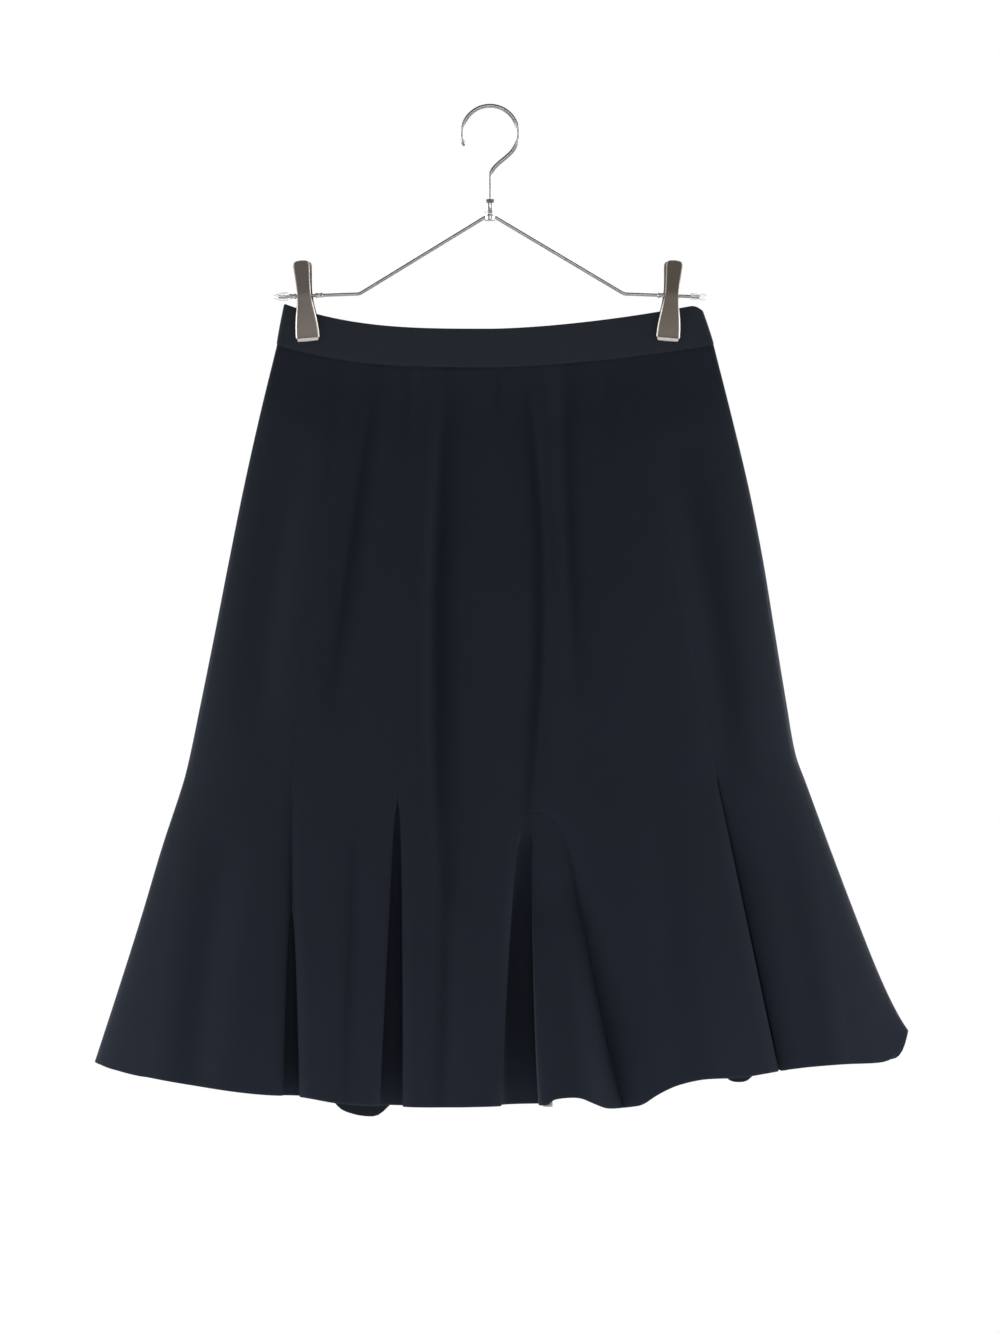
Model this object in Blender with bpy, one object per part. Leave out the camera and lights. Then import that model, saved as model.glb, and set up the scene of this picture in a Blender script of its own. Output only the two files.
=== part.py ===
"""A mermaid skirt hanging by its waistband from the two clips of a wire hanger.

Metres, +Z up.  The origin is where a rail touches the inside top of the hanger's hook.
+X is the right-hand side of someone looking at the front, and the front faces -Y.

The skirt is nine gores under a shaped waistband, with a godet let into every seam from the
knee down.  Each piece is a wall of cloth, made from one set of sections: closed curves round
the skirt, one for each row down its length.  A section runs from the left side seam along the
front to the right side seam and back along the back.
"""

import math

import bmesh
import bpy
from mathutils import Matrix, Vector

# ---------------------------------------------------------------- driving dimensions

SEAM_GAP = 0.0003  # between pieces that are sewn or rest together
CLOTH_WALL = 0.0014  # a gore or a godet
BAND_WALL = 0.0020  # the waistband, two layers of cloth

BAND_TOP_DROP = 0.158  # top edge of the waistband at the sides, below the rail
BAND_TOP_DIP = 0.020  # how far the top edge dips in the middle
WAIST_DROP = 0.190  # waist seam at the sides, below the rail
WAIST_DIP = 0.018  # how far the waist seam dips in the middle
BAND_PINCH = 0.0016  # from the middle plane to each layer of the band where the clips hold it
BAND_SAG_FRONT = 0.0088  # how much further the front of the band swings out between the clips
BAND_SAG_BACK = 0.0066
PINCH_REACH = 0.132  # the band is flat from here out to its sides
BAND_SLOPE_LEFT = 0.0060  # how much further in the band's top edge ends than its seam
BAND_SLOPE_RIGHT = 0.0090
BAND_SIDE_ROUND = 0.0021  # how wide the band's fold at its sides is
SIDE_ROUND = 0.0030  # how wide the fold at the side seams is
SIDE_HALF = 0.0024  # the least half depth beside that fold

WIRE_RADIUS = 0.0013
WIRE_LEFT = -0.1690  # the wire's two ends
WIRE_RIGHT = 0.1680
BAR_DROP = 0.1490  # the hanger's wire beside the clips, below the rail
BAR_DROOP = 0.0023  # how much lower its ends are
PEAK_DROP = 0.0852  # the top of the hanger's shoulders, below the rail
ELBOW_LEFT = -0.1044
ELBOW_RIGHT = 0.1072
ELBOW_BEND = 0.008  # how tightly the wire is bent at its elbows and at its peak
PEAK_BEND = 0.006
HOOK_WIRE_RADIUS = 0.0016
HOOK_RADIUS = 0.0225  # of the hook's arc, to the middle of its wire
HOOK_FROM = -50  # the arc's two ends, in degrees from +X round by the top
HOOK_TO = 205
HOOK_STEM_TOP = -0.0560
HOOK_FOOT = -0.0800  # the lower end of the hook's stem, inside the collar
COLLAR_TOP = -0.0730
COLLAR_FOOT = -0.0905
COLLAR_RADIUS = 0.0042
COLLAR_NECK = 0.0030  # radius of its top, round the stem
COLLAR_SHOULDER = 0.0030  # how far below its top it reaches its full radius
COLLAR_RIM = 0.0008  # the bevel round its foot
WIRE_BORE = WIRE_RADIUS + SEAM_GAP  # of everything that is threaded on the wire
SPRING_RADIUS = 0.0042  # the coil in each clip, and half its length
SPRING_HALF = 0.0042

SHEET_WALL = 0.0011  # the clips' pressed sheet metal
CLIP_LEFT = -0.1486  # where each clip hangs on the wire
CLIP_RIGHT = 0.1453
CLIP_LEAN = math.radians(5.0)  # the clips' tops lean outwards
BACK_LEAN = math.radians(4.0)  # and their back plates a little less
BACK_SHIFT = 0.0010  # a back plate also sits this much further in along the wire

ZIP_DOWN = 0.30  # how far down the skirt the zip reaches
TAPE_WIDTH = 0.0110
TAPE_WALL = 0.0008
TAPE_BAND_ROWS = (0.08, 0.5, 0.98)  # down the band
TAPE_SKIRT_ROWS = (0.06, 0.14, 0.23, ZIP_DOWN)  # down the skirt


def table(columns, *rows):
    """A list of rows, each a dictionary by column name."""
    names = columns.split()
    return [dict(zip(names, row)) for row in rows]


# The skirt's reach to each side and its depth to the front and back, at a share of the way
# down from the waist seam (0) to the hem (1).
SECTIONS = table(
    "down  left    right   front   back",
    (0.00, 0.1700, 0.1785, 0.0104, 0.0082),
    (0.10, 0.1840, 0.1930, 0.0160, 0.0120),
    (0.20, 0.1968, 0.2056, 0.0240, 0.0190),
    (0.30, 0.2084, 0.2164, 0.0310, 0.0250),
    (0.40, 0.2196, 0.2256, 0.0360, 0.0300),
    (0.50, 0.2312, 0.2345, 0.0400, 0.0330),
    (0.57, 0.2395, 0.2390, 0.0430, 0.0350),
    (0.61, 0.2450, 0.2470, 0.0450, 0.0370),
    (0.70, 0.2615, 0.2660, 0.0490, 0.0410),
    (0.80, 0.2800, 0.2880, 0.0540, 0.0460),
    (0.90, 0.2985, 0.3115, 0.0590, 0.0510),
    (1.00, 0.3160, 0.3310, 0.0640, 0.0560),
)

# How far the hem hangs below the rail, across the skirt from its left side (-1) to its right.
HEM = table(
    "across  front   back",
    (-1.00, 0.7655, 0.7655),
    (-0.83, 0.7772, 0.7830),
    (-0.59, 0.7876, 0.7960),
    (-0.43, 0.7932, 0.8120),
    (-0.33, 0.7972, 0.8150),
    (-0.23, 0.7972, 0.8040),
    (0.00, 0.7984, 0.8020),
    (0.13, 0.7970, 0.8010),
    (0.20, 0.7930, 0.7990),
    (0.31, 0.8004, 0.7970),
    (0.40, 0.7890, 0.7930),
    (0.52, 0.7770, 0.7880),
    (0.60, 0.7750, 0.7900),
    (0.72, 0.7700, 0.7800),
    (0.85, 0.7650, 0.7750),
    (1.00, 0.7640, 0.7640),
)

# The seams that hold a godet, in the order of a walk round the section.  Each seam's place in x
# is given at the waist, at the godet's point and halfway between, then for the godet's two lips
# at the hem.  ease is the power by which the lips part on the way down, deep how far the
# godet folds in at the hem, and belly how far its walls swell behind the lips.
SEAMS = table(
    "name               face  waist    middle   point_x  point  hem_from hem_to   ease  deep   belly",
    ("front_far_left", -1, -0.1120, -0.1380, -0.1580, 0.580, -0.1640, -0.1512, 1.6, 0.044, 0.007),
    ("front_left", -1, -0.0520, -0.0650, -0.0736, 0.605, -0.0880, -0.0688, 1.1, 0.046, 0.006),
    ("front_right", -1, 0.0260, 0.0390, 0.0310, 0.605, 0.0088, 0.1040, 0.7, 0.036, 0.000),
    ("front_far_right", -1, 0.1180, 0.1500, 0.1790, 0.580, 0.2284, 0.2324, 1.0, 0.036, 0.007),
    ("back_right", 1, 0.0900, 0.1150, 0.1300, 0.580, 0.1800, 0.1620, 1.2, 0.036, 0.008),
    ("centre_back", 1, 0.0040, 0.0020, 0.0000, 0.605, 0.0110, -0.0070, 1.2, 0.036, 0.008),
    ("back_left", 1, -0.0880, -0.1080, -0.1240, 0.580, -0.1380, -0.1560, 1.2, 0.036, 0.008),
)

# How a gore's edge turns in to meet its godet: by how much, over how wide a strip.
LIP_TURN = 0.0055
LIP_REACH = 0.0090
# Under the flute right of the middle, the next gore's edge turns in further and more gently.
TUCK_TURN = 0.0140
TUCK_REACH = 0.0360

# The gores in the order of the walk.
FRONT_GORES = (
    "gore_front_side_left",
    "gore_front_left",
    "gore_front_centre",
    "gore_front_right",
    "gore_front_side_right",
)
BACK_GORES = (
    "gore_back_side_right",
    "gore_back_right",
    "gore_back_left",
    "gore_back_side_left",
)

# The godets at the two side seams stand out as flutes.  inset is how far in from the side their
# lips lie at the hem, half their half depth there, and lift how much the hem rises at the tip.
# Both points are at the same height.
SIDES = table(
    "name         sign  point  inset   half    lift",
    ("side_right", 1, 0.580, 0.0460, 0.0270, 0.020),
    ("side_left", -1, 0.580, 0.0430, 0.0260, 0.003),
)

# The section of the godet in the seam front_right: it folds in at its left lip, comes forward as a
# flute of its own and tucks under the gore at its right lip.  across is the share of the way
# from lip to lip, deep the depth at the hem behind the lips.
FLUTE_SEAM = "front_right"
FLUTE = table(
    "across  deep",
    (0.000, 0.000),
    (-0.025, 0.018),
    (0.100, 0.034),
    (0.245, 0.026),
    (0.275, 0.000),
    (0.320, -0.014),
    (0.470, -0.021),
    (0.650, -0.021),
    (0.830, -0.018),
    (0.960, -0.013),
    (1.010, -0.006),
    (1.000, 0.000),
)

# The largest folds in the cloth above the flare: where each runs, how far it reaches to each
# side, and how far it stands out (+) or in (-) at its middle.
FOLDS = table(
    "face  top    bottom  x_top    x_mid    x_bottom  reach   out",
    (-1, 0.04, 0.42, -0.0850, -0.1100, -0.1240, 0.0110, -0.0030),
    (-1, 0.02, 0.66, -0.0300, -0.0440, -0.0370, 0.0130, -0.0070),
    (-1, 0.02, 0.70, 0.0270, 0.0410, 0.0230, 0.0110, -0.0050),
    (-1, 0.02, 0.45, 0.0600, 0.0590, 0.0680, 0.0090, -0.0030),
    (-1, 0.10, 0.56, -0.1500, -0.1750, -0.1850, 0.0160, -0.0040),
    (-1, 0.10, 0.62, 0.1450, 0.1760, 0.1900, 0.0180, -0.0050),
    (1, 0.05, 0.50, 0.0500, 0.0620, 0.0700, 0.0140, -0.0040),
    (1, 0.04, 0.60, -0.0450, -0.0540, -0.0600, 0.0140, -0.0050),
    (1, 0.08, 0.52, -0.1350, -0.1600, -0.1750, 0.0150, -0.0040),
    (1, 0.08, 0.55, 0.1350, 0.1650, 0.1800, 0.0150, -0.0040),
)

# Rows down the skirt.  The points of the godets, 0.580 and 0.605, are rows.
ROWS = (
    0.0, 0.06, 0.14, 0.23, 0.32, 0.41, 0.50, 0.565, 0.580, 0.605,
    0.645, 0.69, 0.74, 0.79, 0.84, 0.89, 0.94, 1.0,
)  # fmt: skip

# Along a gore, as shares of its width; the outer ones lie where its lips start to turn in.
GORE_STEPS = (0.0, 0.07, 0.28, 0.5, 0.72, 0.93, 1.0)
GODET_STEPS = 8
FLUTE_STEPS = 14
POINT_WIDTH = 0.0020  # a godet's width in its first row
SIDE_POINT_WIDTH = 0.0030
MOUTH = 0.0040  # the least width between a godet's lips
MOUTH_OPEN = 0.05  # a godet's mouth is open this far below its point
GORE_BULGE = 0.009  # how far a gore swells out between two godets at the hem
BULGE_FROM = 0.5  # where a gore starts to swell

# The powers that shape the sections.
OVAL_FLAT = 2.6  # higher is flatter in the middle
OVAL_END = 0.6  # lower is rounder at the sides
BAND_FADE = 0.12  # the band's flat section fades into the skirt's oval down to here
FOLD_ENDS = 0.7  # below 1, a fold keeps its depth nearer to its ends
GODET_GROWTH = 0.8  # below 1, a godet deepens fast under its point
SIDE_GROWTH = 1.15

# ---------------------------------------------------------------- reading the tables


def read(rows, column, key, at):
    """The value of a column where key is at, on a smooth curve through the table's rows."""
    last = len(rows) - 1
    i = 0
    while i < last - 1 and at > rows[i + 1][key]:
        i += 1

    def slope(k):
        low, high = max(k - 1, 0), min(k + 1, last)
        return (rows[high][column] - rows[low][column]) / (rows[high][key] - rows[low][key])

    span = rows[i + 1][key] - rows[i][key]
    f = min(max((at - rows[i][key]) / span, 0.0), 1.0)
    start, end = rows[i][column], rows[i + 1][column]
    return (
        (1 + 2 * f) * (1 - f) ** 2 * start
        + f * (1 - f) ** 2 * span * slope(i)
        + f * f * (3 - 2 * f) * end
        - f * f * (1 - f) * span * slope(i + 1)
    )


def mix(a, b, f):
    return a + (b - a) * f


def ease(f):
    """0 below 0, 1 above 1, and a smooth rise between them."""
    f = min(max(f, 0.0), 1.0)
    return f * f * (3 - 2 * f)


def bent(start, middle, end, f):
    """A curve that goes through three values at f = 0, 0.5 and 1."""
    return start * (1 - f) * (1 - 2 * f) + middle * 4 * f * (1 - f) + end * f * (2 * f - 1)


# ---------------------------------------------------------------- the skirt's sections


def reach(side, down):
    """Half the skirt's width, to the left (-1) or the right (1)."""
    return read(SECTIONS, "left" if side < 0 else "right", "down", down)


def share_across(x, down):
    """x as a share of the skirt's reach on its own side, from -1 to 1."""
    side = -1 if x < 0 else 1
    return min(max(x / reach(side, down), -1.0), 1.0)


def height(x, down, face):
    """How high a point of the cloth hangs."""
    across = share_across(x, down)
    waist = -WAIST_DROP - WAIST_DIP * (1 - across * across)
    hem = -read(HEM, "front" if face < 0 else "back", "across", across)
    return mix(waist, hem, down)


def past_point(down, point):
    """The share of the way from a godet's point down to the hem."""
    return max(0.0, (down - point) / (1 - point))


def side_end(side, down):
    """Where the front and back end at a side seam: x, and the half depth there."""
    q = past_point(down, side["point"])
    x = reach(side["sign"], down) - side["inset"] * q**SIDE_GROWTH
    half = SIDE_POINT_WIDTH / 2 + side["half"] * q if down >= side["point"] else 0.0
    return x * side["sign"], half


def band_depth(x, face):
    """How far the waistband stands from the middle plane, pinched flat where the clips hold."""
    sag = BAND_SAG_FRONT if face < 0 else BAND_SAG_BACK
    f = min(1.0, abs(x) / PINCH_REACH)
    return BAND_PINCH + sag * (1 - f * f) ** 2


def fold_depth(x, down, face):
    """What the large folds above the flare add to the depth."""
    total = 0.0
    for fold in FOLDS:
        f = (down - fold["top"]) / (fold["bottom"] - fold["top"])
        if fold["face"] == face and 0 < f < 1:
            middle = bent(fold["x_top"], fold["x_mid"], fold["x_bottom"], f)
            along = math.sin(math.pi * f) ** FOLD_ENDS
            total += fold["out"] * along * math.exp(-(((x - middle) / fold["reach"]) ** 2))
    return total


def depth(x, down, face):
    """How far the cloth stands from the middle plane, away from the godets' lips."""
    end, half = side_end(SIDES[0] if x > 0 else SIDES[1], down)
    full = read(SECTIONS, "front" if face < 0 else "back", "down", down)
    f = min(1.0, abs(x / end))
    oval = half + (full - half) * (1 - f**OVAL_FLAT) ** OVAL_END
    return mix(band_depth(x, face), oval, ease(down / BAND_FADE)) + fold_depth(x, down, face)


def opened(q):
    """How far a godet's mouth has opened, from 0 at its point to 1 a little way below."""
    return min(1.0, q / MOUTH_OPEN)


def lips(seam, down):
    """x of a godet's first and last lip, in the order of the walk; equal above its point."""
    if down < seam["point"]:
        x = bent(seam["waist"], seam["middle"], seam["point_x"], down / seam["point"])
        return x, x
    q = past_point(down, seam["point"])
    middle = mix(seam["point_x"], (seam["hem_from"] + seam["hem_to"]) / 2, q)
    at_hem = abs(seam["hem_to"] - seam["hem_from"])
    width = mix(POINT_WIDTH, MOUTH, opened(q)) + (at_hem - MOUTH) * q ** seam["ease"]
    half = -seam["face"] * width / 2
    return middle - half, middle + half


def turned_in(x, down, lip, seam, after):
    """How far a gore's edge has turned in at x, towards the lip of a godet."""
    if seam is None:
        return 0.0
    tucked = after and seam["name"] == FLUTE_SEAM
    turn, strip = (TUCK_TURN, TUCK_REACH) if tucked else (LIP_TURN, LIP_REACH)
    near = max(0.0, 1 - abs(x - lip) / strip)
    return turn * min(1.0, 3 * past_point(down, seam["point"])) * near**2


def gore_section(face, start, end, down):
    """A gore's row, from the lip of one godet to the lip of the next.

    start and end are the lip's x and its seam, with no seam at the skirt's sides.
    """
    row = []
    for f in GORE_STEPS:
        x = mix(start[0], end[0], f)
        y = depth(x, down, face)
        y += GORE_BULGE * past_point(down, BULGE_FROM) ** 1.5 * math.sin(math.pi * f)
        y -= turned_in(x, down, *start, True) + turned_in(x, down, *end, False)
        row.append(Vector((x, face * y, height(x, down, face))))
    return row


def round_side(row, down, at_start):
    """Bends the end of a front or back row round into the side seam, above the side godet."""
    corner = row[0] if at_start else row[-1]
    next_to_it = row[1] if at_start else row[-2]
    inward = 1 if next_to_it.x > corner.x else -1
    next_to_it.x = corner.x + inward * SIDE_ROUND
    if abs(next_to_it.y) < SIDE_HALF:
        next_to_it.y = math.copysign(SIDE_HALF, next_to_it.y)
    next_to_it.z = height(next_to_it.x, down, 1 if next_to_it.y > 0 else -1)
    corner.y = 0.0


def godet_section(seam, first, last, down):
    """A godet's row: from the first lip, back into the fold and out to the last lip."""
    q = past_point(down, seam["point"])
    deep = seam["deep"] * q**GODET_GROWTH
    belly = seam["belly"] * ease(q * 2.5)
    row = []
    for k in range(GODET_STEPS + 1):
        f = k / GODET_STEPS
        turn = math.pi * f
        x = mix(first.x, last.x, mix(f, (1 - math.cos(turn)) / 2, opened(q)))
        x += math.copysign(belly, first.x - last.x) * math.sin(2 * turn)
        y = mix(first.y, last.y, f) - seam["face"] * deep * math.sin(turn) ** 0.8
        row.append(Vector((x, y, mix(first.z, last.z, f))))
    return row


def flute_section(seam, first, last, down):
    """The row of the godet that comes forward as a flute of its own."""
    q = past_point(down, seam["point"])
    deep = q**GODET_GROWTH
    row = []
    for k in range(FLUTE_STEPS + 1):
        f = k / FLUTE_STEPS
        at = f * (len(FLUTE) - 1)
        i = min(int(at), len(FLUTE) - 2)
        across = curve_value([point["across"] for point in FLUTE], i, at - i)
        sunk = curve_value([point["deep"] for point in FLUTE], i, at - i)
        across = mix(f, across, ease(q * 6))
        x = mix(first.x, last.x, across)
        y = mix(first.y, last.y, f) - seam["face"] * deep * sunk
        row.append(Vector((x, y, mix(first.z, last.z, f))))
    return row


def curve_value(values, i, f):
    """A value on the smooth curve through evenly spaced values, at f after value i."""
    before = values[max(i - 1, 0)]
    after = values[min(i + 2, len(values) - 1)]
    a, b = values[i], values[i + 1]
    cubic = 3 * (a - b) + after - before
    square = 2 * before - 5 * a + 4 * b - after
    return a + 0.5 * f * (b - before + f * (square + f * cubic))


def side_section(side, first, last, down):
    """The row of a side godet, which stands out round the side as a flute."""
    q = past_point(down, side["point"])
    out = reach(side["sign"], down) - abs(first.x)
    row = []
    for k in range(GODET_STEPS + 1):
        f = k / GODET_STEPS
        turn = math.pi * f
        x = abs(first.x) + out * math.sin(turn) ** 0.9
        y = mix(first.y, last.y, mix(f, (1 - math.cos(turn)) / 2, opened(q)))
        z = mix(first.z, last.z, f) + side["lift"] * q * math.sin(turn) ** 2
        row.append(Vector((x * side["sign"], y, z)))
    return row


def walk(down):
    """One section of the skirt: each piece's row of points, in the order of the walk."""
    pieces = {}
    right, left = SIDES
    has_sides = down >= right["point"]
    for face in (-1, 1):
        seams = [seam for seam in SEAMS if seam["face"] == face]
        from_side, to_side = (left, right) if face < 0 else (right, left)
        x_from = side_end(from_side, down)[0]
        x_to = side_end(to_side, down)[0]
        starts = [(x_from, None)]
        ends = []
        for seam in seams:
            first, last = lips(seam, down)
            ends.append((first, seam))
            starts.append((last, seam))
        ends.append((x_to, None))
        names = FRONT_GORES if face < 0 else BACK_GORES
        rows = [gore_section(face, start, end, down) for start, end in zip(starts, ends)]
        if down < from_side["point"]:
            round_side(rows[0], down, True)
            round_side(rows[-1], down, False)
        for number, row in enumerate(rows):
            pieces[names[number]] = row
            if number < len(seams) and down >= seams[number]["point"]:
                seam = seams[number]
                section = flute_section if seam["name"] == FLUTE_SEAM else godet_section
                pieces["godet_" + seam["name"]] = section(seam, row[-1], rows[number + 1][0], down)
        if has_sides:
            # Both side godets hold their place in the walk until the back is known.
            pieces["godet_side_right" if face < 0 else "godet_side_left"] = []
    if has_sides:
        front, back = pieces["gore_front_side_right"], pieces["gore_back_side_right"]
        pieces["godet_side_right"] = side_section(right, front[-1], back[0], down)
        front, back = pieces["gore_front_side_left"], pieces["gore_back_side_left"]
        pieces["godet_side_left"] = side_section(left, back[-1], front[0], down)
    return pieces


# ---------------------------------------------------------------- walls of cloth


def outward(points):
    """The outward direction at each point of a closed section, level with the floor."""
    found = []
    count = len(points)
    for i in range(count):
        into = (points[i] - points[i - 1]).to_2d()
        out_of = (points[(i + 1) % count] - points[i]).to_2d()
        along = into.normalized() + out_of.normalized()
        found.append(Vector((along.y, -along.x, 0)).normalized())
    return found


def trimmed(row):
    """The row, shorter by half a seam gap at each end."""
    whole = (row[-1] - row[0]).length
    if whole < 2 * SIDE_POINT_WIDTH:
        middle = (row[0] + row[-1]) / 2
        return [middle + (point - middle) * (1 - SEAM_GAP / whole) for point in row]
    points = [point.copy() for point in row]
    points[0] += (row[1] - row[0]).normalized() * SEAM_GAP / 2
    points[-1] += (row[-2] - row[-1]).normalized() * SEAM_GAP / 2
    return points


def section_walls(pieces):
    """Each piece's row as (point, outward direction), with a seam gap between neighbours."""
    ring = []
    places = {}
    for name, row in pieces.items():
        joined = bool(ring) and (row[0] - ring[-1]).length < 1e-6
        start = len(ring) - 1 if joined else len(ring)
        ring.extend(row[1:] if joined else row)
        places[name] = (start, start + len(row))
    if (ring[-1] - ring[0]).length < 1e-6:
        ring.pop()
    directions = outward(ring)
    walls = {}
    for name, row in pieces.items():
        ways = [directions[i % len(ring)] for i in range(*places[name])]
        walls[name] = list(zip(trimmed(row), ways))
    return walls


def cloth_wall(name, rows, thick, material):
    """A closed wall through rows of (point, outward direction), of the given thickness."""
    mesh = bpy.data.meshes.new(name)
    shell = bmesh.new()
    high, wide = len(rows), len(rows[0])
    faces = []
    for offset in (thick / 2, -thick / 2):
        faces.append([[shell.verts.new(p + way * offset) for p, way in row] for row in rows])
    outer, inner = faces

    def quad(a, b, c, d):
        shell.faces.new((a, b, c))
        shell.faces.new((a, c, d))

    for i in range(high - 1):
        for j in range(wide - 1):
            quad(outer[i][j], outer[i + 1][j], outer[i + 1][j + 1], outer[i][j + 1])
            shell.faces.new((inner[i][j], inner[i + 1][j + 1], inner[i + 1][j]))
            shell.faces.new((inner[i][j], inner[i][j + 1], inner[i + 1][j + 1]))
    for i in range(high - 1):
        # Both ends are split along the same diagonal, so that neighbours twist alike.
        quad(inner[i][0], inner[i + 1][0], outer[i + 1][0], outer[i][0])
        quad(inner[i][-1], outer[i][-1], outer[i + 1][-1], inner[i + 1][-1])
    for j in range(wide - 1):
        quad(outer[0][j], outer[0][j + 1], inner[0][j + 1], inner[0][j])
        quad(inner[-1][j], inner[-1][j + 1], outer[-1][j + 1], outer[-1][j])
    shell.to_mesh(mesh)
    shell.free()
    return placed(mesh, material)


def placed(mesh, material, location=(0, 0, 0), smooth_below=40):
    """Puts a mesh in the scene as an object of its own, shaded smooth but for its sharp edges."""
    piece = bpy.data.objects.new(mesh.name, mesh)
    piece.location = location
    mesh.materials.append(material)
    mesh.shade_smooth()
    mesh.set_sharp_from_angle(angle=math.radians(smooth_below))
    bpy.context.scene.collection.objects.link(piece)
    return piece


def make_skirt(material):
    """The gores and godets, row by row from the waist seam to the hem."""
    rows_of = {}
    for down in ROWS:
        for name, wall in section_walls(walk(down)).items():
            rows_of.setdefault(name, []).append(wall)
    for name, rows in rows_of.items():
        if name.startswith("gore"):
            rows[0] = [(point - Vector((0, 0, SEAM_GAP / 2)), way) for point, way in rows[0]]
        cloth_wall(name, rows, CLOTH_WALL, material)


# ---------------------------------------------------------------- waistband


BAND_STEPS = 22  # along the front of the band
BAND_PIECES = table(
    "face  name             start  end",
    (-1, "band_front", -1.0, 1.0),
    (1, "band_back_right", 1.0, 0.0),
    (1, "band_back_left", 0.0, -1.0),
)


def band_point(across, share_down, face):
    """A point of the band: across from -1 to 1, share_down from its top edge to the waist seam."""
    side = -1 if across < 0 else 1
    top_reach = reach(side, 0.0) - (BAND_SLOPE_LEFT if side < 0 else BAND_SLOPE_RIGHT)
    x = across * mix(top_reach, reach(side, 0.0), share_down)
    dip = 1 - across * across
    z = -mix(BAND_TOP_DROP + BAND_TOP_DIP * dip, WAIST_DROP + WAIST_DIP * dip, share_down)
    return Vector((x, face * band_depth(x, face), z))


def make_band(material):
    """The waistband: one piece in front and two behind, which meet at the zip."""
    rows_of = {}
    for share_down in (0.0, 0.5, 1.0):
        pieces = {}
        for part in BAND_PIECES:
            steps = BAND_STEPS if part["face"] < 0 else BAND_STEPS // 2
            row = []
            for k in range(steps + 1):
                across = mix(part["start"], part["end"], k / steps)
                row.append(band_point(across, share_down, part["face"]))
            for at_start in (True, False):
                end = row[0] if at_start else row[-1]
                if abs(end.x) > PINCH_REACH:
                    next_to_it = row[1] if at_start else row[-2]
                    next_to_it.x = end.x - math.copysign(BAND_SIDE_ROUND, end.x)
                    next_to_it.z = end.z
                    end.y = 0.0
            if share_down == 1.0:
                for point in row:
                    point.z += SEAM_GAP / 2
            pieces[part["name"]] = row
        for name, wall in section_walls(pieces).items():
            rows_of.setdefault(name, []).append(wall)
    for name, rows in rows_of.items():
        cloth_wall(name, rows, BAND_WALL, material)


# ---------------------------------------------------------------- materials and scene


def material(name, colour, roughness, metallic=0.0, alpha=1.0):
    made = bpy.data.materials.new(name)
    made.use_nodes = True
    shader = made.node_tree.nodes["Principled BSDF"]
    shader.inputs["Base Color"].default_value = (*colour, 1.0)
    shader.inputs["Roughness"].default_value = roughness
    shader.inputs["Metallic"].default_value = metallic
    shader.inputs["Alpha"].default_value = alpha
    return made


# ---------------------------------------------------------------- hanger


def rounded_path(corners, steps=4):
    """Points along straight runs with an arc at each corner; corners are (x, z, radius)."""
    path = []
    for i, (x, z, radius) in enumerate(corners):
        corner = Vector((x, 0, z))
        if not radius:
            path.append(corner)
            continue
        before = Vector((corners[i - 1][0], 0, corners[i - 1][1]))
        after = Vector((corners[i + 1][0], 0, corners[i + 1][1]))
        into, out_of = (corner - before).normalized(), (after - corner).normalized()
        cut = radius * math.tan(into.angle(out_of) / 2)
        start, end = corner - into * cut, corner + out_of * cut
        for k in range(steps + 1):
            f = k / steps
            path.append(start * (1 - f) ** 2 + corner * 2 * f * (1 - f) + end * f * f)
    return path


def wire(name, path, radius, surface):
    """A round wire along a path, as a curve with a bevel."""
    curve = bpy.data.curves.new(name, "CURVE")
    curve.dimensions = "3D"
    curve.bevel_depth = radius
    curve.bevel_resolution = 2
    curve.use_fill_caps = True
    spline = curve.splines.new("POLY")
    spline.points.add(len(path) - 1)
    for point, place in zip(spline.points, path):
        point.co = (*place, 1)
    curve.materials.append(surface)
    piece = bpy.data.objects.new(name, curve)
    bpy.context.scene.collection.objects.link(piece)
    return piece


def shoulder_path():
    """The hanger's wire: along behind the left clip, up over the middle and down to the right."""
    return rounded_path((
        (WIRE_LEFT, bar_height(WIRE_LEFT), 0),
        (ELBOW_LEFT, -BAR_DROP, ELBOW_BEND),
        (0.0, -PEAK_DROP, PEAK_BEND),
        (ELBOW_RIGHT, -BAR_DROP, ELBOW_BEND),
        (WIRE_RIGHT, bar_height(WIRE_RIGHT), 0),
    ))


def hook_path():
    """Up from the collar, out to the right and over the rail to an open left side."""
    middle = Vector((0, 0, HOOK_WIRE_RADIUS - HOOK_RADIUS))
    stem_top = Vector((0, 0, HOOK_STEM_TOP))
    path = [Vector((0, 0, HOOK_FOOT)), stem_top]
    arc = []
    for degrees in range(HOOK_FROM, HOOK_TO + 1, 15):
        turn = math.radians(degrees)
        arc.append(middle + HOOK_RADIUS * Vector((math.cos(turn), 0, math.sin(turn))))
    lean = (arc[1] - arc[0]).normalized()
    pull = (arc[0] - stem_top).length
    for k in range(1, 6):
        f = k / 6
        path.append(
            stem_top * (1 + 2 * f) * (1 - f) ** 2
            + Vector((0, 0, pull)) * f * (1 - f) ** 2
            + arc[0] * f * f * (3 - 2 * f)
            - lean * pull * f * f * (1 - f)
        )
    return path + arc


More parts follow.
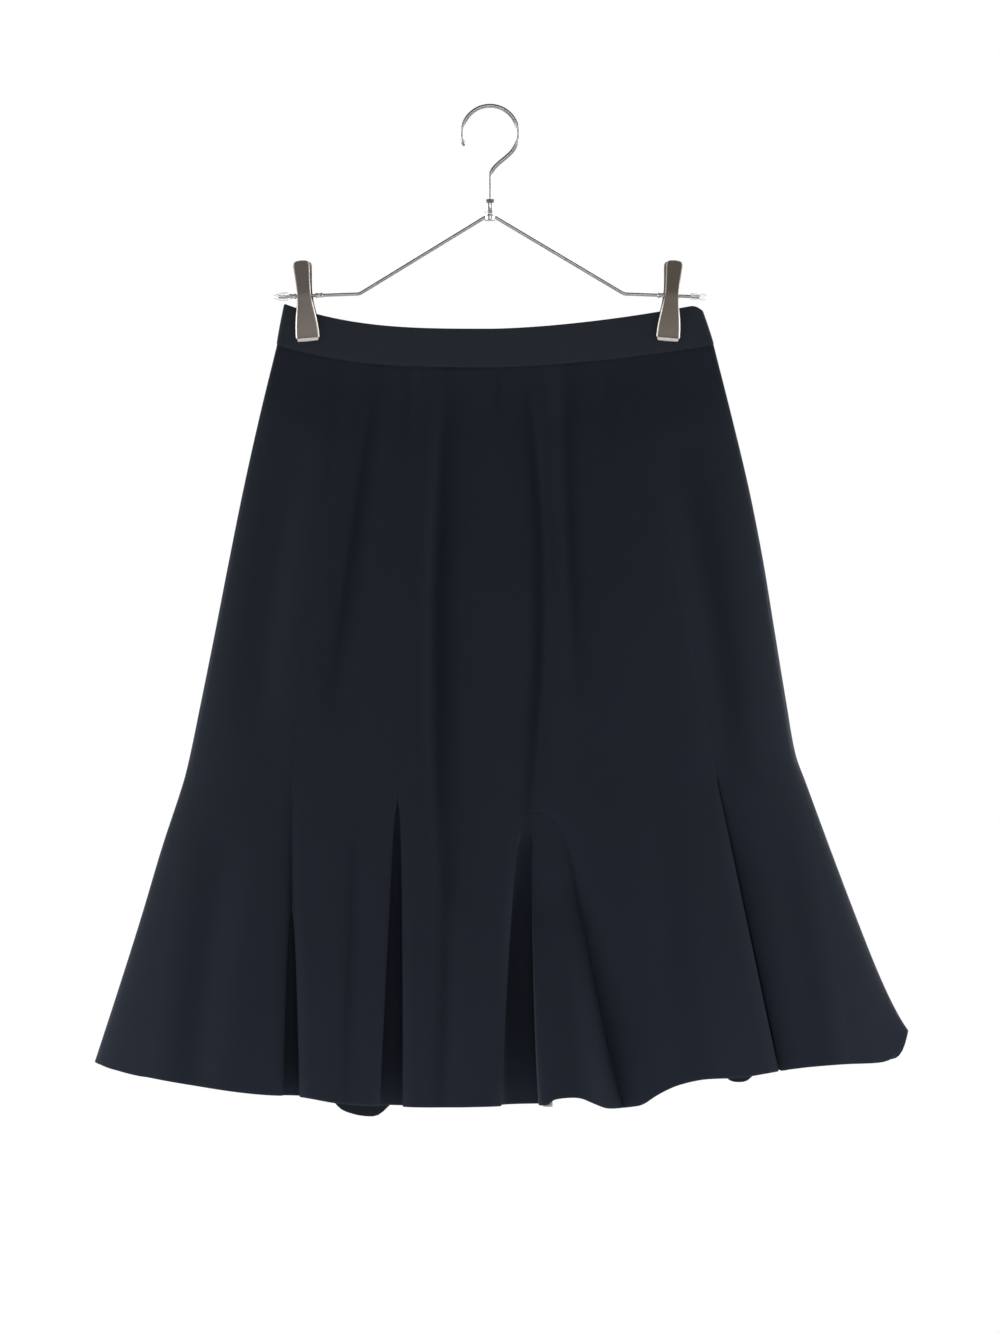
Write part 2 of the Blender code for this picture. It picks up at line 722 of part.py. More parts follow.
def turned(name, outline, surface, steps=16):
    """A round piece about Z; outline runs up its outside, as (radius, height) pairs.

    A ring's outline closes on itself, and a solid one starts and ends on the axis.
    """
    mesh = bpy.data.meshes.new(name)
    shape = bmesh.new()
    rings = []
    for radius, high in outline:
        if radius == 0:
            rings.append([shape.verts.new((0, 0, high))] * steps)
            continue
        ring = []
        for k in range(steps):
            turn = 2 * math.pi * k / steps
            ring.append(shape.verts.new((radius * math.cos(turn), radius * math.sin(turn), high)))
        rings.append(ring)
    closed = outline[0][0] > 0
    for i in range(len(rings) if closed else len(rings) - 1):
        low, high = rings[i], rings[(i + 1) % len(rings)]
        for k in range(steps):
            j = (k + 1) % steps
            corners = [low[k], low[j], high[j], high[k]]
            shape.faces.new(dict.fromkeys(corners))
    shape.to_mesh(mesh)
    shape.free()
    return placed(mesh, surface)


def bar_height(x):
    """The wire's height beside the clips; its ends droop a little."""
    elbow, end = (ELBOW_LEFT, WIRE_LEFT) if x < 0 else (ELBOW_RIGHT, WIRE_RIGHT)
    return -BAR_DROP - BAR_DROOP * (x - elbow) / (end - elbow)


def lying_along_wire(piece, x):
    """Lays a turned piece along the hanger's wire beside the clips."""
    run = WIRE_RIGHT - ELBOW_RIGHT
    tilt = math.radians(90) + math.atan(BAR_DROOP / run)
    piece.rotation_euler = (0, math.copysign(tilt, x), 0)
    piece.location = (x, 0, bar_height(x))


def boolean(piece, other, operation):
    """Joins another shape to a piece or takes it away; the other stays as a hidden guide."""
    other.hide_render = True
    other.display_type = "WIRE"
    modifier = piece.modifiers.new(other.name, "BOOLEAN")
    modifier.operation = operation
    modifier.solver = "EXACT"
    modifier.object = other


def cut(piece, cutter):
    boolean(piece, cutter, "DIFFERENCE")


def mesh_from_wire(name, path, radius, surface):
    """A wire's shape as a mesh object, for use as a cutter."""
    guide = wire(name + "_guide", path, radius, surface)
    mesh = bpy.data.meshes.new_from_object(guide)
    bpy.data.objects.remove(guide)
    mesh.name = name
    return placed(mesh, surface)


# The stops beside the clips, and the soft caps on the wire's two ends.
STOPS = table(
    "name               x        radius  half",
    ("hanger_stop_left", -0.1366, 0.0021, 0.0028),
    ("hanger_stop_right", 0.1368, 0.0021, 0.0026),
    ("hanger_end_stop", -0.1578, 0.0021, 0.0026),
)
CAPS = table(
    "name              x           radius",
    ("hanger_cap_left", WIRE_LEFT, 0.0034),
    ("hanger_cap_right", WIRE_RIGHT, 0.0026),
)
CAP_SLEEVE = 0.0080  # how far a cap reaches back along the wire
CAP_TIP = 0.0052  # and out past its end


def sleeve(outer, half):
    """The outline of a round sleeve on the wire."""
    return ((WIRE_BORE, -half), (outer, -half), (outer, half), (WIRE_BORE, half))


def make_hanger(steel, clear):
    """The bent wire, its end caps and stops, and the hook in its collar."""
    wire("hanger_wire", shoulder_path(), WIRE_RADIUS, steel)
    wire("hanger_hook", hook_path(), HOOK_WIRE_RADIUS, steel)
    collar = turned(
        "hanger_collar",
        (
            (0, COLLAR_FOOT),
            (COLLAR_RADIUS - COLLAR_RIM, COLLAR_FOOT),
            (COLLAR_RADIUS, COLLAR_FOOT + COLLAR_RIM),
            (COLLAR_RADIUS, COLLAR_TOP - COLLAR_SHOULDER),
            (COLLAR_NECK, COLLAR_TOP),
            (0, COLLAR_TOP),
        ),
        steel,
    )
    cut(collar, mesh_from_wire("cut_shoulders", shoulder_path(), WIRE_BORE, steel))
    past_top = COLLAR_TOP + COLLAR_SHOULDER
    stem = [Vector((0, 0, HOOK_FOOT - SEAM_GAP)), Vector((0, 0, past_top))]
    cut(collar, mesh_from_wire("cut_stem", stem, HOOK_WIRE_RADIUS + SEAM_GAP, steel))
    for stop in STOPS:
        lying_along_wire(turned(stop["name"], sleeve(stop["radius"], stop["half"]), steel, 12), stop["x"])
    for cap in CAPS:
        wide = cap["radius"]
        outline = (
            (0, SEAM_GAP),
            (WIRE_BORE, SEAM_GAP),
            (WIRE_BORE, -CAP_SLEEVE),
            (wide - COLLAR_RIM, -CAP_SLEEVE),
            (wide, COLLAR_RIM - CAP_SLEEVE),
            (wide, COLLAR_RIM),
            (wide * 0.55, CAP_TIP),
            (0, CAP_TIP),
        )
        lying_along_wire(turned(cap["name"], outline, clear, 12), cap["x"])


# One plate of a clip, from its handle down to its jaw: height above the wire, half width,
# distance of its flat middle from the wire's plane, and how far its side flanges turn in.
PLATE = table(
    "up       half    away    flange",
    (0.0276, 0.0048, 0.0112, 0.0006),
    (0.0266, 0.0061, 0.0110, 0.0012),
    (0.0240, 0.0066, 0.0105, 0.0016),
    (0.0128, 0.0059, 0.0082, 0.0018),
    (0.0030, 0.0056, 0.0061, 0.0018),
    (-0.0060, 0.0064, 0.0054, 0.0016),
    (-0.0120, 0.0074, 0.0050, 0.0013),
    (-0.0180, 0.0083, 0.0047, 0.0010),
    (-0.0260, 0.0091, 0.0044, 0.0008),
    (-0.0330, 0.0092, 0.0043, 0.0007),
    (-0.0360, 0.0086, 0.0043, 0.0007),
)
PLATE_COLUMNS = (-1.0, -0.84, -0.3, 0.3, 0.84, 1.0)


def make_clip(side, x, sheet_metal, steel):
    """Two pressed plates, held apart above the wire and together on the waistband."""
    z = bar_height(x)
    plates = ((-1, "front", CLIP_LEAN, x), (1, "back", BACK_LEAN, x - math.copysign(BACK_SHIFT, x)))
    for face, label, angle, middle in plates:
        lean = Matrix.Rotation(math.copysign(angle, x), 4, "Y")
        rows = []
        for part in PLATE:
            row = []
            for column in PLATE_COLUMNS:
                y = part["away"] - (part["flange"] if abs(column) == 1.0 else 0.0)
                place = lean @ Vector((-face * column * part["half"], face * y, part["up"]))
                row.append((place + Vector((middle, 0, z)), Vector((0, face, 0))))
            rows.append(row)
        cloth_wall(f"clip_{side}_{label}", rows, SHEET_WALL, sheet_metal)
    coil = turned(f"clip_{side}_spring", sleeve(SPRING_RADIUS, SPRING_HALF), steel)
    lying_along_wire(coil, x)


# ---------------------------------------------------------------- zip


def make_zip_tapes(tape_cloth):
    """The two tapes behind the centre back seam, from the band's top edge down."""
    zip_seam = next(seam for seam in SEAMS if seam["name"] == "centre_back")
    for side, label in ((1, "right"), (-1, "left")):
        rows = []
        for share_down in TAPE_BAND_ROWS:
            row = []
            for k in range(3):
                x = side * mix(SEAM_GAP, TAPE_WIDTH, k / 2)
                place = band_point(x / reach(side, 0.0), share_down, 1)
                row.append(Vector((x, place.y, place.z)))
            rows.append((row, BAND_WALL))
        for down in TAPE_SKIRT_ROWS:
            row = []
            for k in range(3):
                x = lips(zip_seam, down)[0] + side * mix(SEAM_GAP, TAPE_WIDTH, k / 2)
                row.append(Vector((x, depth(x, down, 1), height(x, down, 1))))
            rows.append((row, BAND_WALL))
        behind = []
        for row, over in rows:
            back_set = Vector((0, over / 2 + SEAM_GAP + TAPE_WALL / 2, 0))
            wall = [(point - back_set, Vector((0, 1, 0))) for point in row]
            behind.append(wall[::-1] if side > 0 else wall)
        cloth_wall(f"zip_tape_{label}", behind, TAPE_WALL, tape_cloth)


# The slider sits on the outside of the band at its top edge, and its bail holds the pull.
SLIDER_WIDE = 0.0044
SLIDER_TALL = 0.0075
SLIDER_THICK = 0.0012
SLIDER_BELOW_EDGE = 0.0055  # its middle, below the band's top edge
BAIL_RADIUS = 0.0005
BAIL_HALF = 0.0026
BAIL_ROOM = 0.0017  # between the slider's face and the bail, where the pull's bar turns
PULL_THICK = 0.0009
PULL_HALF_EYE = 0.0009
PULL_EYE_RIM = 0.0006  # of metal below the eye
PULL_CLEAR = 0.00095  # from the bail's lower bar up to the axis the pull swings about
BAIL_CORNER = 0.0006
PULL_HALF_TOP = 0.0019
PULL_HALF_FOOT = 0.0026
PULL_EYE_FOOT = -0.0052
PULL_FOOT = -0.0145


def box(name, low, high, surface):
    mesh = bpy.data.meshes.new(name)
    shape = bmesh.new()
    bmesh.ops.create_cube(shape, size=1.0)
    size = Vector(high) - Vector(low)
    middle = (Vector(high) + Vector(low)) / 2
    for vert in shape.verts:
        vert.co = Vector(c * s for c, s in zip(vert.co, size)) + middle
    shape.to_mesh(mesh)
    shape.free()
    return placed(mesh, surface)


def make_slider_and_pull(metal):
    """The zip's slider with its bail, and the pull that hangs from the bail and swings out."""
    skin = band_depth(0.0, 1) + BAND_WALL / 2 + SEAM_GAP
    middle = -BAND_TOP_DROP - BAND_TOP_DIP - SLIDER_BELOW_EDGE
    face = skin + SLIDER_THICK
    half_wide, half_tall = SLIDER_WIDE / 2, SLIDER_TALL / 2
    slider = box(
        "zip_slider", (-half_wide, skin, middle - half_tall), (half_wide, face, middle + half_tall), metal
    )
    out = face + BAIL_ROOM + BAIL_RADIUS
    bail_path = [
        Vector((0, y, middle + z))
        for y, z in (
            (skin + SLIDER_THICK / 2, BAIL_HALF),
            (out - BAIL_CORNER, BAIL_HALF),
            (out, BAIL_HALF - BAIL_CORNER),
            (out, -BAIL_HALF + BAIL_CORNER),
            (out - BAIL_CORNER, -BAIL_HALF),
            (skin + SLIDER_THICK / 2, -BAIL_HALF),
        )
    ]
    bail = mesh_from_wire("join_bail", bail_path, BAIL_RADIUS, metal)
    boolean(slider, bail, "UNION")
    make_pull(face, middle, metal)


def make_pull(face, middle, metal):
    """The pull, with its origin on the axis it swings about, just inside the bail."""
    mesh = bpy.data.meshes.new("zip_pull")
    shape = bmesh.new()
    top = PULL_THICK / 2
    outline = [(-PULL_HALF_TOP, top), (-PULL_HALF_TOP, PULL_EYE_FOOT)]
    for degrees in range(180, 361, 20):
        turn = math.radians(degrees)
        foot = PULL_FOOT + PULL_HALF_FOOT
        outline.append((PULL_HALF_FOOT * math.cos(turn), foot + PULL_HALF_FOOT * math.sin(turn)))
    outline += [(PULL_HALF_TOP, PULL_EYE_FOOT), (PULL_HALF_TOP, top)]
    plate = shape.faces.new([shape.verts.new((x, -PULL_THICK / 2, z)) for x, z in outline])
    moved = bmesh.ops.extrude_face_region(shape, geom=[plate])["geom"]
    for part in moved:
        if isinstance(part, bmesh.types.BMVert):
            part.co.y += PULL_THICK
    bmesh.ops.recalc_face_normals(shape, faces=shape.faces)
    shape.to_mesh(mesh)
    shape.free()
    pivot = Vector((0, face + BAIL_ROOM / 2, middle - BAIL_HALF + BAIL_RADIUS + PULL_CLEAR))
    pull = placed(mesh, metal, pivot)
    eye = box(
        "cut_eye",
        (-PULL_HALF_EYE, -PULL_THICK, PULL_EYE_FOOT + PULL_EYE_RIM),
        (PULL_HALF_EYE, PULL_THICK, -top),
        metal,
    )
    eye.parent = pull
    cut(pull, eye)


# ---------------------------------------------------------------- the scene

for old in list(bpy.data.objects):
    bpy.data.objects.remove(old)

navy_cloth = material("navy_suiting", (0.010, 0.013, 0.022), 0.85)
navy_tape = material("navy_tape", (0.012, 0.014, 0.022), 0.9)
dark_enamel = material("dark_enamel", (0.012, 0.014, 0.022), 0.35, 0.4)
bright_steel = material("bright_steel", (0.56, 0.56, 0.57), 0.25, 1.0)
pewter = material("pewter_clip", (0.30, 0.26, 0.23), 0.35, 0.9)
clear_plastic = material("clear_plastic", (0.90, 0.90, 0.92), 0.15, 0.0, 0.45)

make_skirt(navy_cloth)
make_band(navy_cloth)
make_hanger(bright_steel, clear_plastic)
make_clip("left", CLIP_LEFT, pewter, bright_steel)
make_clip("right", CLIP_RIGHT, pewter, bright_steel)
make_zip_tapes(navy_tape)
make_slider_and_pull(dark_enamel)
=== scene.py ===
# %% [markdown]
# # A mermaid skirt on a clip hanger
# The skirt is nine gores under a shaped waistband.  From the knee down a godet, a wedge of
# cloth, is let into every seam, and that is what makes the hem flare.  It hangs flat from the
# two clips of a wire hanger.
#
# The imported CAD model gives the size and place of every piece.  This lesson rebuilds the cloth
# and the metal finely on that frame, one small step at a time.

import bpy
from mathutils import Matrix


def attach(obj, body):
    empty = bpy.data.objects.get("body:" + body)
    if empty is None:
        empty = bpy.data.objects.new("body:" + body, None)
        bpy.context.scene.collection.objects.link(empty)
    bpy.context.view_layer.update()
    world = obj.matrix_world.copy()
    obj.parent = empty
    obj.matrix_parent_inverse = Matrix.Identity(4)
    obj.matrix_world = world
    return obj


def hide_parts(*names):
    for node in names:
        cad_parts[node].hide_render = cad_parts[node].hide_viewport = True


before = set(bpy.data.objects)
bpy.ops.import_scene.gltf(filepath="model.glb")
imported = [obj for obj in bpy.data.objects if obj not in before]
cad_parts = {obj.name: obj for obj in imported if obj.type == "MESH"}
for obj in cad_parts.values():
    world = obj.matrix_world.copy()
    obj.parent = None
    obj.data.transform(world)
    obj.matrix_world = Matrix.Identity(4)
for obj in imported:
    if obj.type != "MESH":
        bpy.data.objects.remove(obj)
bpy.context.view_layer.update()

# %% Tools for this lesson
import math
from functools import lru_cache

import bmesh
import bpy
import numpy as np
from mathutils import Matrix, Vector, noise

SKIRT = "skirt_on_hanger"  # the body that everything but the zip's pull belongs to
print("the pieces made here ride on", SKIRT)

# %% [markdown]
# ## Tables instead of point lists
# A pattern cutter keeps a few measurements and draws smooth lines through them.  Here a small
# table holds the measurements, one row for each height or fold, and `read` draws the smooth
# line: a cubic curve whose slope at each row comes from the rows on either side.


# %% Tables and smooth curves through them
def table(columns, *rows):
    """A list of rows, each a dictionary by column name."""
    names = columns.split()
    return [dict(zip(names, row)) for row in rows]


def read(rows, column, key, at):
    """The value of a column where key is at, on a smooth curve through the table's rows."""
    last = len(rows) - 1
    i = 0
    while i < last - 1 and at > rows[i + 1][key]:
        i += 1

    def slope(k):
        low, high = max(k - 1, 0), min(k + 1, last)
        return (rows[high][column] - rows[low][column]) / (rows[high][key] - rows[low][key])

    span = rows[i + 1][key] - rows[i][key]
    f = min(max((at - rows[i][key]) / span, 0.0), 1.0)
    return (
        (1 + 2 * f) * (1 - f) ** 2 * rows[i][column]
        + f * (1 - f) ** 2 * span * slope(i)
        + f * f * (3 - 2 * f) * rows[i + 1][column]
        - f * f * (1 - f) * span * slope(i + 1)
    )


def mix(a, b, f):
    return a + (b - a) * f


def ease(f):
    """0 below 0, 1 above 1, and a smooth rise between them."""
    f = min(max(f, 0.0), 1.0)
    return f * f * (3 - 2 * f)


def bent(start, middle, end, f):
    """A curve that goes through three values at f = 0, 0.5 and 1."""
    return start * (1 - f) * (1 - 2 * f) + middle * 4 * f * (1 - f) + end * f * (2 * f - 1)


print("halfway up an easy rise:", ease(0.5))

# %% [markdown]
# ## The cut of the skirt
# All heights are measured from the rail that the hanger's hook rests on.  `down` is the share
# of the way from the waist seam (0) to the hem (1), and `across` runs from the left side (-1)
# to the right side (1).  The front faces -Y, so a face is -1 for the front and 1 for the back.

# %% Sizes of the cut, in metres
BAND_TOP_DROP = 0.158  # top edge of the waistband at the sides
BAND_TOP_DIP = 0.020  # how far it dips in the middle
DIP_LEFT, DIP_RIGHT = 3.0, 1.6  # the dip is squarer on the left than on the right
WAIST_DROP = 0.190  # waist seam at the sides
WAIST_DIP = 0.018
BAND_PINCH = 0.0016  # from the middle plane to each layer of the band where the clips hold it
BAND_SAG_FRONT = 0.0088  # how much further the band swings out between the clips
BAND_SAG_BACK = 0.0066
PINCH_REACH = 0.132  # the band is flat from here out to its sides
BAND_SLOPE_LEFT = 0.0060  # how much further in the band's top edge ends than its seam
BAND_SLOPE_RIGHT = 0.0090
SIDE_ROUND = 0.0030  # how wide the fold at the side seams is
BAND_WALL = 0.0020

SECTIONS = table(
    "down  left    right   front   back",
    (0.00, 0.1700, 0.1785, 0.0104, 0.0082),
    (0.10, 0.1840, 0.1930, 0.0160, 0.0120),
    (0.20, 0.1968, 0.2067, 0.0240, 0.0190),
    (0.30, 0.2084, 0.2180, 0.0310, 0.0250),
    (0.40, 0.2196, 0.2274, 0.0360, 0.0300),
    (0.50, 0.2312, 0.2368, 0.0400, 0.0330),
    (0.57, 0.2395, 0.2440, 0.0430, 0.0350),
    (0.61, 0.2452, 0.2523, 0.0450, 0.0370),
    (0.70, 0.2620, 0.2712, 0.0490, 0.0410),
    (0.80, 0.2790, 0.2924, 0.0540, 0.0460),
    (0.90, 0.2970, 0.3132, 0.0590, 0.0510),
    (1.00, 0.3155, 0.3340, 0.0640, 0.0560),
)
print("the cut is", round(SECTIONS[0]["left"] + SECTIONS[0]["right"], 3), "m across its flat waist")

# %% [markdown]
# The hem's line says how far the hem hangs below the rail.  The back hides behind the front,
# but for a tongue left of the middle and a small bump on the right.

# %% The hem's line
HEM_FRONT = table(
    "across  drop",
    (-1.000, 0.7655), (-0.835, 0.7750), (-0.714, 0.7810), (-0.592, 0.7858), (-0.470, 0.7885),
    (-0.380, 0.7930), (-0.258, 0.7953), (-0.137, 0.7960), (-0.015, 0.7953), (0.072, 0.7945),
    (0.122, 0.7940), (0.139, 0.7930), (0.150, 0.7897), (0.188, 0.7878), (0.217, 0.7885), (0.246, 0.7925),
    (0.276, 0.7965), (0.305, 0.7970), (0.333, 0.7960), (0.362, 0.7938), (0.392, 0.7873),
    (0.420, 0.7822), (0.450, 0.7782), (0.508, 0.7740), (0.595, 0.7728), (0.653, 0.7700),
    (0.711, 0.7670), (0.770, 0.7647), (0.856, 0.7628), (0.943, 0.7630), (1.000, 0.7640),
)  # fmt: skip
HEM_BACK = table(
    "across  drop",
    (-1.000, 0.7655), (-0.830, 0.7735), (-0.590, 0.7820), (-0.500, 0.7845), (-0.440, 0.7880),
    (-0.412, 0.7925), (-0.382, 0.8025), (-0.350, 0.8068), (-0.319, 0.8086), (-0.289, 0.8082),
    (-0.266, 0.8030), (-0.245, 0.7960), (-0.220, 0.7930), (-0.130, 0.7922), (0.000, 0.7915),
    (0.120, 0.7895), (0.200, 0.7840), (0.260, 0.7850), (0.310, 0.7890), (0.400, 0.7800),
    (0.450, 0.7735), (0.520, 0.7700), (0.552, 0.7725), (0.578, 0.7795), (0.600, 0.7808),
    (0.620, 0.7795), (0.645, 0.7720), (0.700, 0.7640), (0.860, 0.7610), (1.000, 0.7640),
)  # fmt: skip
print("the hem hangs", max(row["drop"] for row in HEM_FRONT + HEM_BACK), "m below the rail at its lowest")

# %% [markdown]
# ## Seams, godets and gores
# Each seam is a line down the skirt: its x is given at the waist, at the godet's point and
# halfway between.  Below the point the seam parts into the godet's two lips, whose x is given
# at the hem.  `mouth` is the least width between the lips, `shut` the share of their length
# along which they stay that close, and `ease` how late they open below it; `deep` is how far
# the godet folds in, and `belly` how much its walls swell.

# %% Seams, godets and gores
SEAMS = table(
    "name face waist middle point_x point hem_from hem_to drift shut ease mouth deep belly",
    ("front_far_left", -1, -0.112, -0.138, -0.158, 0.58, -0.165, -0.1508, 1, 0.41, 0.5, 0.0012, 0.02, 0.004),
    ("front_left", -1, -0.052, -0.065, -0.0736, 0.58, -0.088, -0.0688, 1.3, 0, 0.7, 0.0024, 0.025, 0.004),
    ("front_right", -1, 0.026, 0.039, 0.031, 0.605, 0.0088, 0.1055, 1, 0, 1, 0.003, 0.036, 0),
    ("front_far_right", -1, 0.118, 0.15, 0.179, 0.58, 0.229, 0.2313, 1, 0, 1, 0.0014, 0.022, 0.005),
    ("back_right", 1, 0.09, 0.115, 0.13, 0.58, 0.18, 0.162, 1, 0, 1.5, 0.003, 0.032, 0.006),
    ("centre_back", 1, 0, 0.001, 0, 0.605, 0.011, -0.007, 1, 0, 1.3, 0.003, 0.032, 0.006),
    ("back_left", 1, -0.088, -0.108, -0.124, 0.58, -0.138, -0.156, 1, 0, 1.5, 0.003, 0.032, 0.006),
)
FRONT_GORES = (
    "gore_front_side_left", "gore_front_left", "gore_front_centre", "gore_front_right",
    "gore_front_side_right",
)  # fmt: skip
BACK_GORES = ("gore_back_side_right", "gore_back_right", "gore_back_left", "gore_back_side_left")
SIDES = {
    "side_right": {"sign": 1, "point": 0.580, "inset": 0.0460, "lift": 0.024, "late": (6, 12), "low": 5},
    "side_left": {"sign": -1, "point": 0.580, "inset": 0.0430, "lift": 0.010, "late": (1.4, 3), "low": 1},
}
print(len(SEAMS) + len(SIDES), "godets in", len(FRONT_GORES) + len(BACK_GORES), "gores")

# %% [markdown]
# The godet in the seam front_right comes forward as a flute of its own.  It widens fast below
# its point, so its lips have a table, and another gives its form at the hem: the share of the
# way from lip to lip, and the depth behind them.

# %% The flute
FLUTE_SEAM = "front_right"
FLUTE_LIPS = table(
    "past   left    right",
    (0.00, 0.0309, 0.0311),
    (0.03, 0.0254, 0.0455),
    (0.08, 0.0230, 0.0560),
    (0.17, 0.0203, 0.0636),
    (0.30, 0.0176, 0.0698),
    (0.44, 0.0153, 0.0762),
    (0.66, 0.0124, 0.0868),
    (0.84, 0.0104, 0.0956),
    (1.00, 0.0088, 0.1055),
)
FLUTE = table(
    "across  deep",
    (0.000, 0.000),
    (-0.025, 0.016),
    (0.100, 0.030),
    (0.345, 0.024),
    (0.340, 0.004),
    (0.312, -0.009),
    (0.350, -0.0175),
    (0.470, -0.0215),
    (0.620, -0.0220),
    (0.760, -0.0185),
    (0.890, -0.0105),
    (1.000, 0.000),
)
print("the flute is", round(FLUTE_LIPS[-1]["right"] - FLUTE_LIPS[-1]["left"], 3), "m wide at the hem")

# %% [markdown]
# ## Folds
# A skirt that hangs flat from its sides has spare cloth in the middle, and it settles into long
# soft folds.  Cloth folds are seldom even: one flank is steep and the other shallow.  So each
# fold has a reach to its left and another to its right.  A negative `out` is a trough.

# %% The folds, listed one by one
FOLDS = table(
    "face  top    bottom  x_top    x_mid    x_bottom  left    right   out",
    # troughs of the front, from left to right
    (-1, 0.10, 0.56, -0.1500, -0.1750, -0.1850, 0.0200, 0.0140, -0.0045),
    (-1, -0.02, 0.50, -0.0860, -0.1090, -0.1280, 0.0075, 0.0150, -0.0070),
    (-1, -0.03, 0.74, -0.0295, -0.0425, -0.0345, 0.0085, 0.0240, -0.0120),
    (-1, -0.01, 0.67, 0.0260, 0.0405, 0.0240, 0.0120, 0.0062, -0.0068),
    (-1, -0.03, 0.46, 0.0600, 0.0640, 0.0710, 0.0080, 0.0095, -0.0055),
    (-1, 0.10, 0.62, 0.1450, 0.1760, 0.1900, 0.0180, 0.0140, -0.0055),
    # troughs that start below the godets' points
    (-1, 0.58, 1.10, -0.1060, -0.1130, -0.1150, 0.0080, 0.0110, -0.0052),
    (-1, 0.62, 1.10, -0.0340, -0.0365, -0.0390, 0.0090, 0.0110, -0.0058),
    (-1, 0.64, 1.14, -0.2080, -0.2290, -0.2420, 0.0170, 0.0170, -0.0060),
    (-1, 0.55, 1.10, 0.1300, 0.1450, 0.1600, 0.0160, 0.0140, -0.0032),
    (-1, 0.62, 1.12, 0.2200, 0.2480, 0.2620, 0.0160, 0.0160, -0.0034),
    # gathers under the waistband
    (-1, -0.05, 0.16, -0.0620, -0.0640, -0.0680, 0.0060, 0.0040, -0.0012),
    (-1, 0.00, 0.075, 0.0064, 0.0068, 0.0070, 0.0020, 0.0024, -0.0016),
    (-1, -0.05, 0.20, 0.0420, 0.0440, 0.0470, 0.0050, 0.0050, 0.0014),
    (-1, -0.04, 0.14, 0.0900, 0.0930, 0.0960, 0.0070, 0.0050, -0.0010),
    (-1, -0.04, 0.16, -0.1180, -0.1220, -0.1280, 0.0060, 0.0070, -0.0010),
    # the back
    (1, 0.05, 0.50, 0.0500, 0.0620, 0.0700, 0.0160, 0.0090, -0.0060),
    (1, 0.04, 0.60, -0.0450, -0.0540, -0.0600, 0.0080, 0.0170, -0.0075),
    (1, 0.08, 0.52, -0.1350, -0.1600, -0.1750, 0.0150, 0.0120, -0.0060),
    (1, 0.08, 0.55, 0.1350, 0.1650, 0.1800, 0.0120, 0.0160, -0.0060),
    (1, 0.00, 0.28, 0.0240, 0.0280, 0.0330, 0.0060, 0.0080, -0.0024),
    (1, 0.02, 0.32, -0.0200, -0.0230, -0.0260, 0.0070, 0.0060, -0.0024),
    (1, 0.60, 1.10, 0.0700, 0.0800, 0.0860, 0.0120, 0.0140, -0.0051),
    (1, 0.62, 1.10, -0.0680, -0.0740, -0.0760, 0.0140, 0.0110, -0.0051),
    (1, 0.62, 1.12, 0.2050, 0.2300, 0.2400, 0.0130, 0.0130, -0.0054),
    (1, 0.60, 1.12, -0.2000, -0.2220, -0.2360, 0.0130, 0.0130, -0.0054),
)
print(len(FOLDS), "folds; the deepest is", min(fold["out"] for fold in FOLDS) * 1000, "mm deep")

# %% What the folds add
FOLD_ENDS = 0.7  # below 1, a fold keeps its depth nearer to its ends


def fold_depth(x, down, face):
    """What the folds add to the cloth's distance from the middle plane."""
    total = 0.0
    for fold in FOLDS:
        f = (down - fold["top"]) / (fold["bottom"] - fold["top"])
        if fold["face"] != face or not 0 < f < 1:
            continue
        away = x - bent(fold["x_top"], fold["x_mid"], fold["x_bottom"], f)
        reach_there = fold["left"] if away < 0 else fold["right"]
        if abs(away) < 3 * reach_there:
            along = math.sin(math.pi * f) ** FOLD_ENDS
            total += fold["out"] * along * math.exp(-((away / reach_there) ** 2))
    return total


print("the folds add", round(fold_depth(-0.04, 0.4, -1) * 1000, 1), "mm a little left of the middle")

# %% [markdown]
# ## One section through the skirt
# A section is the closed line where a level plane would cut the cloth.  It runs from the left
# side along the front to the right side, and back along the back.  Where the cloth stands at
# each x comes from an oval for the body of the skirt, mixed near the top with the almost flat
# waistband, plus the folds, plus a little unevenness, because no real cloth is ruled.


# %% Widths and heights
@lru_cache(maxsize=None)
def reach(side, down):
    """Half the skirt's width, to the left (-1) or the right (1)."""
    return read(SECTIONS, "left" if side < 0 else "right", "down", down)


@lru_cache(maxsize=None)
def fullness(face, down):
    return read(SECTIONS, "front" if face < 0 else "back", "down", down)


def side_of(x):
    return -1 if x < 0 else 1


def dipped(across):
    """1 in the middle of the waist, and 0 at its sides."""
    return 1 - abs(across) ** (DIP_LEFT if across < 0 else DIP_RIGHT)


def height(x, down, face):
    """How high a point of the cloth hangs."""
    across = min(max(x / reach(side_of(x), down), -1.0), 1.0)
    waist = -WAIST_DROP - WAIST_DIP * dipped(across)
    return mix(waist, -read(HEM_FRONT if face < 0 else HEM_BACK, "drop", "across", across), down)


print("half way down it is", round(reach(-1, 0.5) + reach(1, 0.5), 3), "m wide")

# %% Where the side seams are
MOUTH_OPEN = 0.05  # the share of a godet's length over which its mouth opens
SIDE_GROWTH = 1.15  # a side godet opens late towards the hem


def past_point(down, point):
    """The share of the way from a godet's point down to the hem."""
    return max(0.0, (down - point) / (1 - point))


@lru_cache(maxsize=None)
def side_end(name, down):
    """Where the front and back end at a side seam: x, and how far its godet has opened."""
    side = SIDES[name]
    q = past_point(down, side["point"])
    x = reach(side["sign"], down) - side["inset"] * q**SIDE_GROWTH
    return x * side["sign"], min(1.0, 2 * q / MOUTH_OPEN)


print("at the hem the front ends at", [round(side_end(name, 1.0)[0], 3) for name in SIDES])


# %% How deep the cloth stands
def band_depth(x, face):
    sag = BAND_SAG_FRONT if face < 0 else BAND_SAG_BACK
    f = min(1.0, abs(x) / PINCH_REACH)
    return BAND_PINCH + sag * (1 - f * f) ** 2


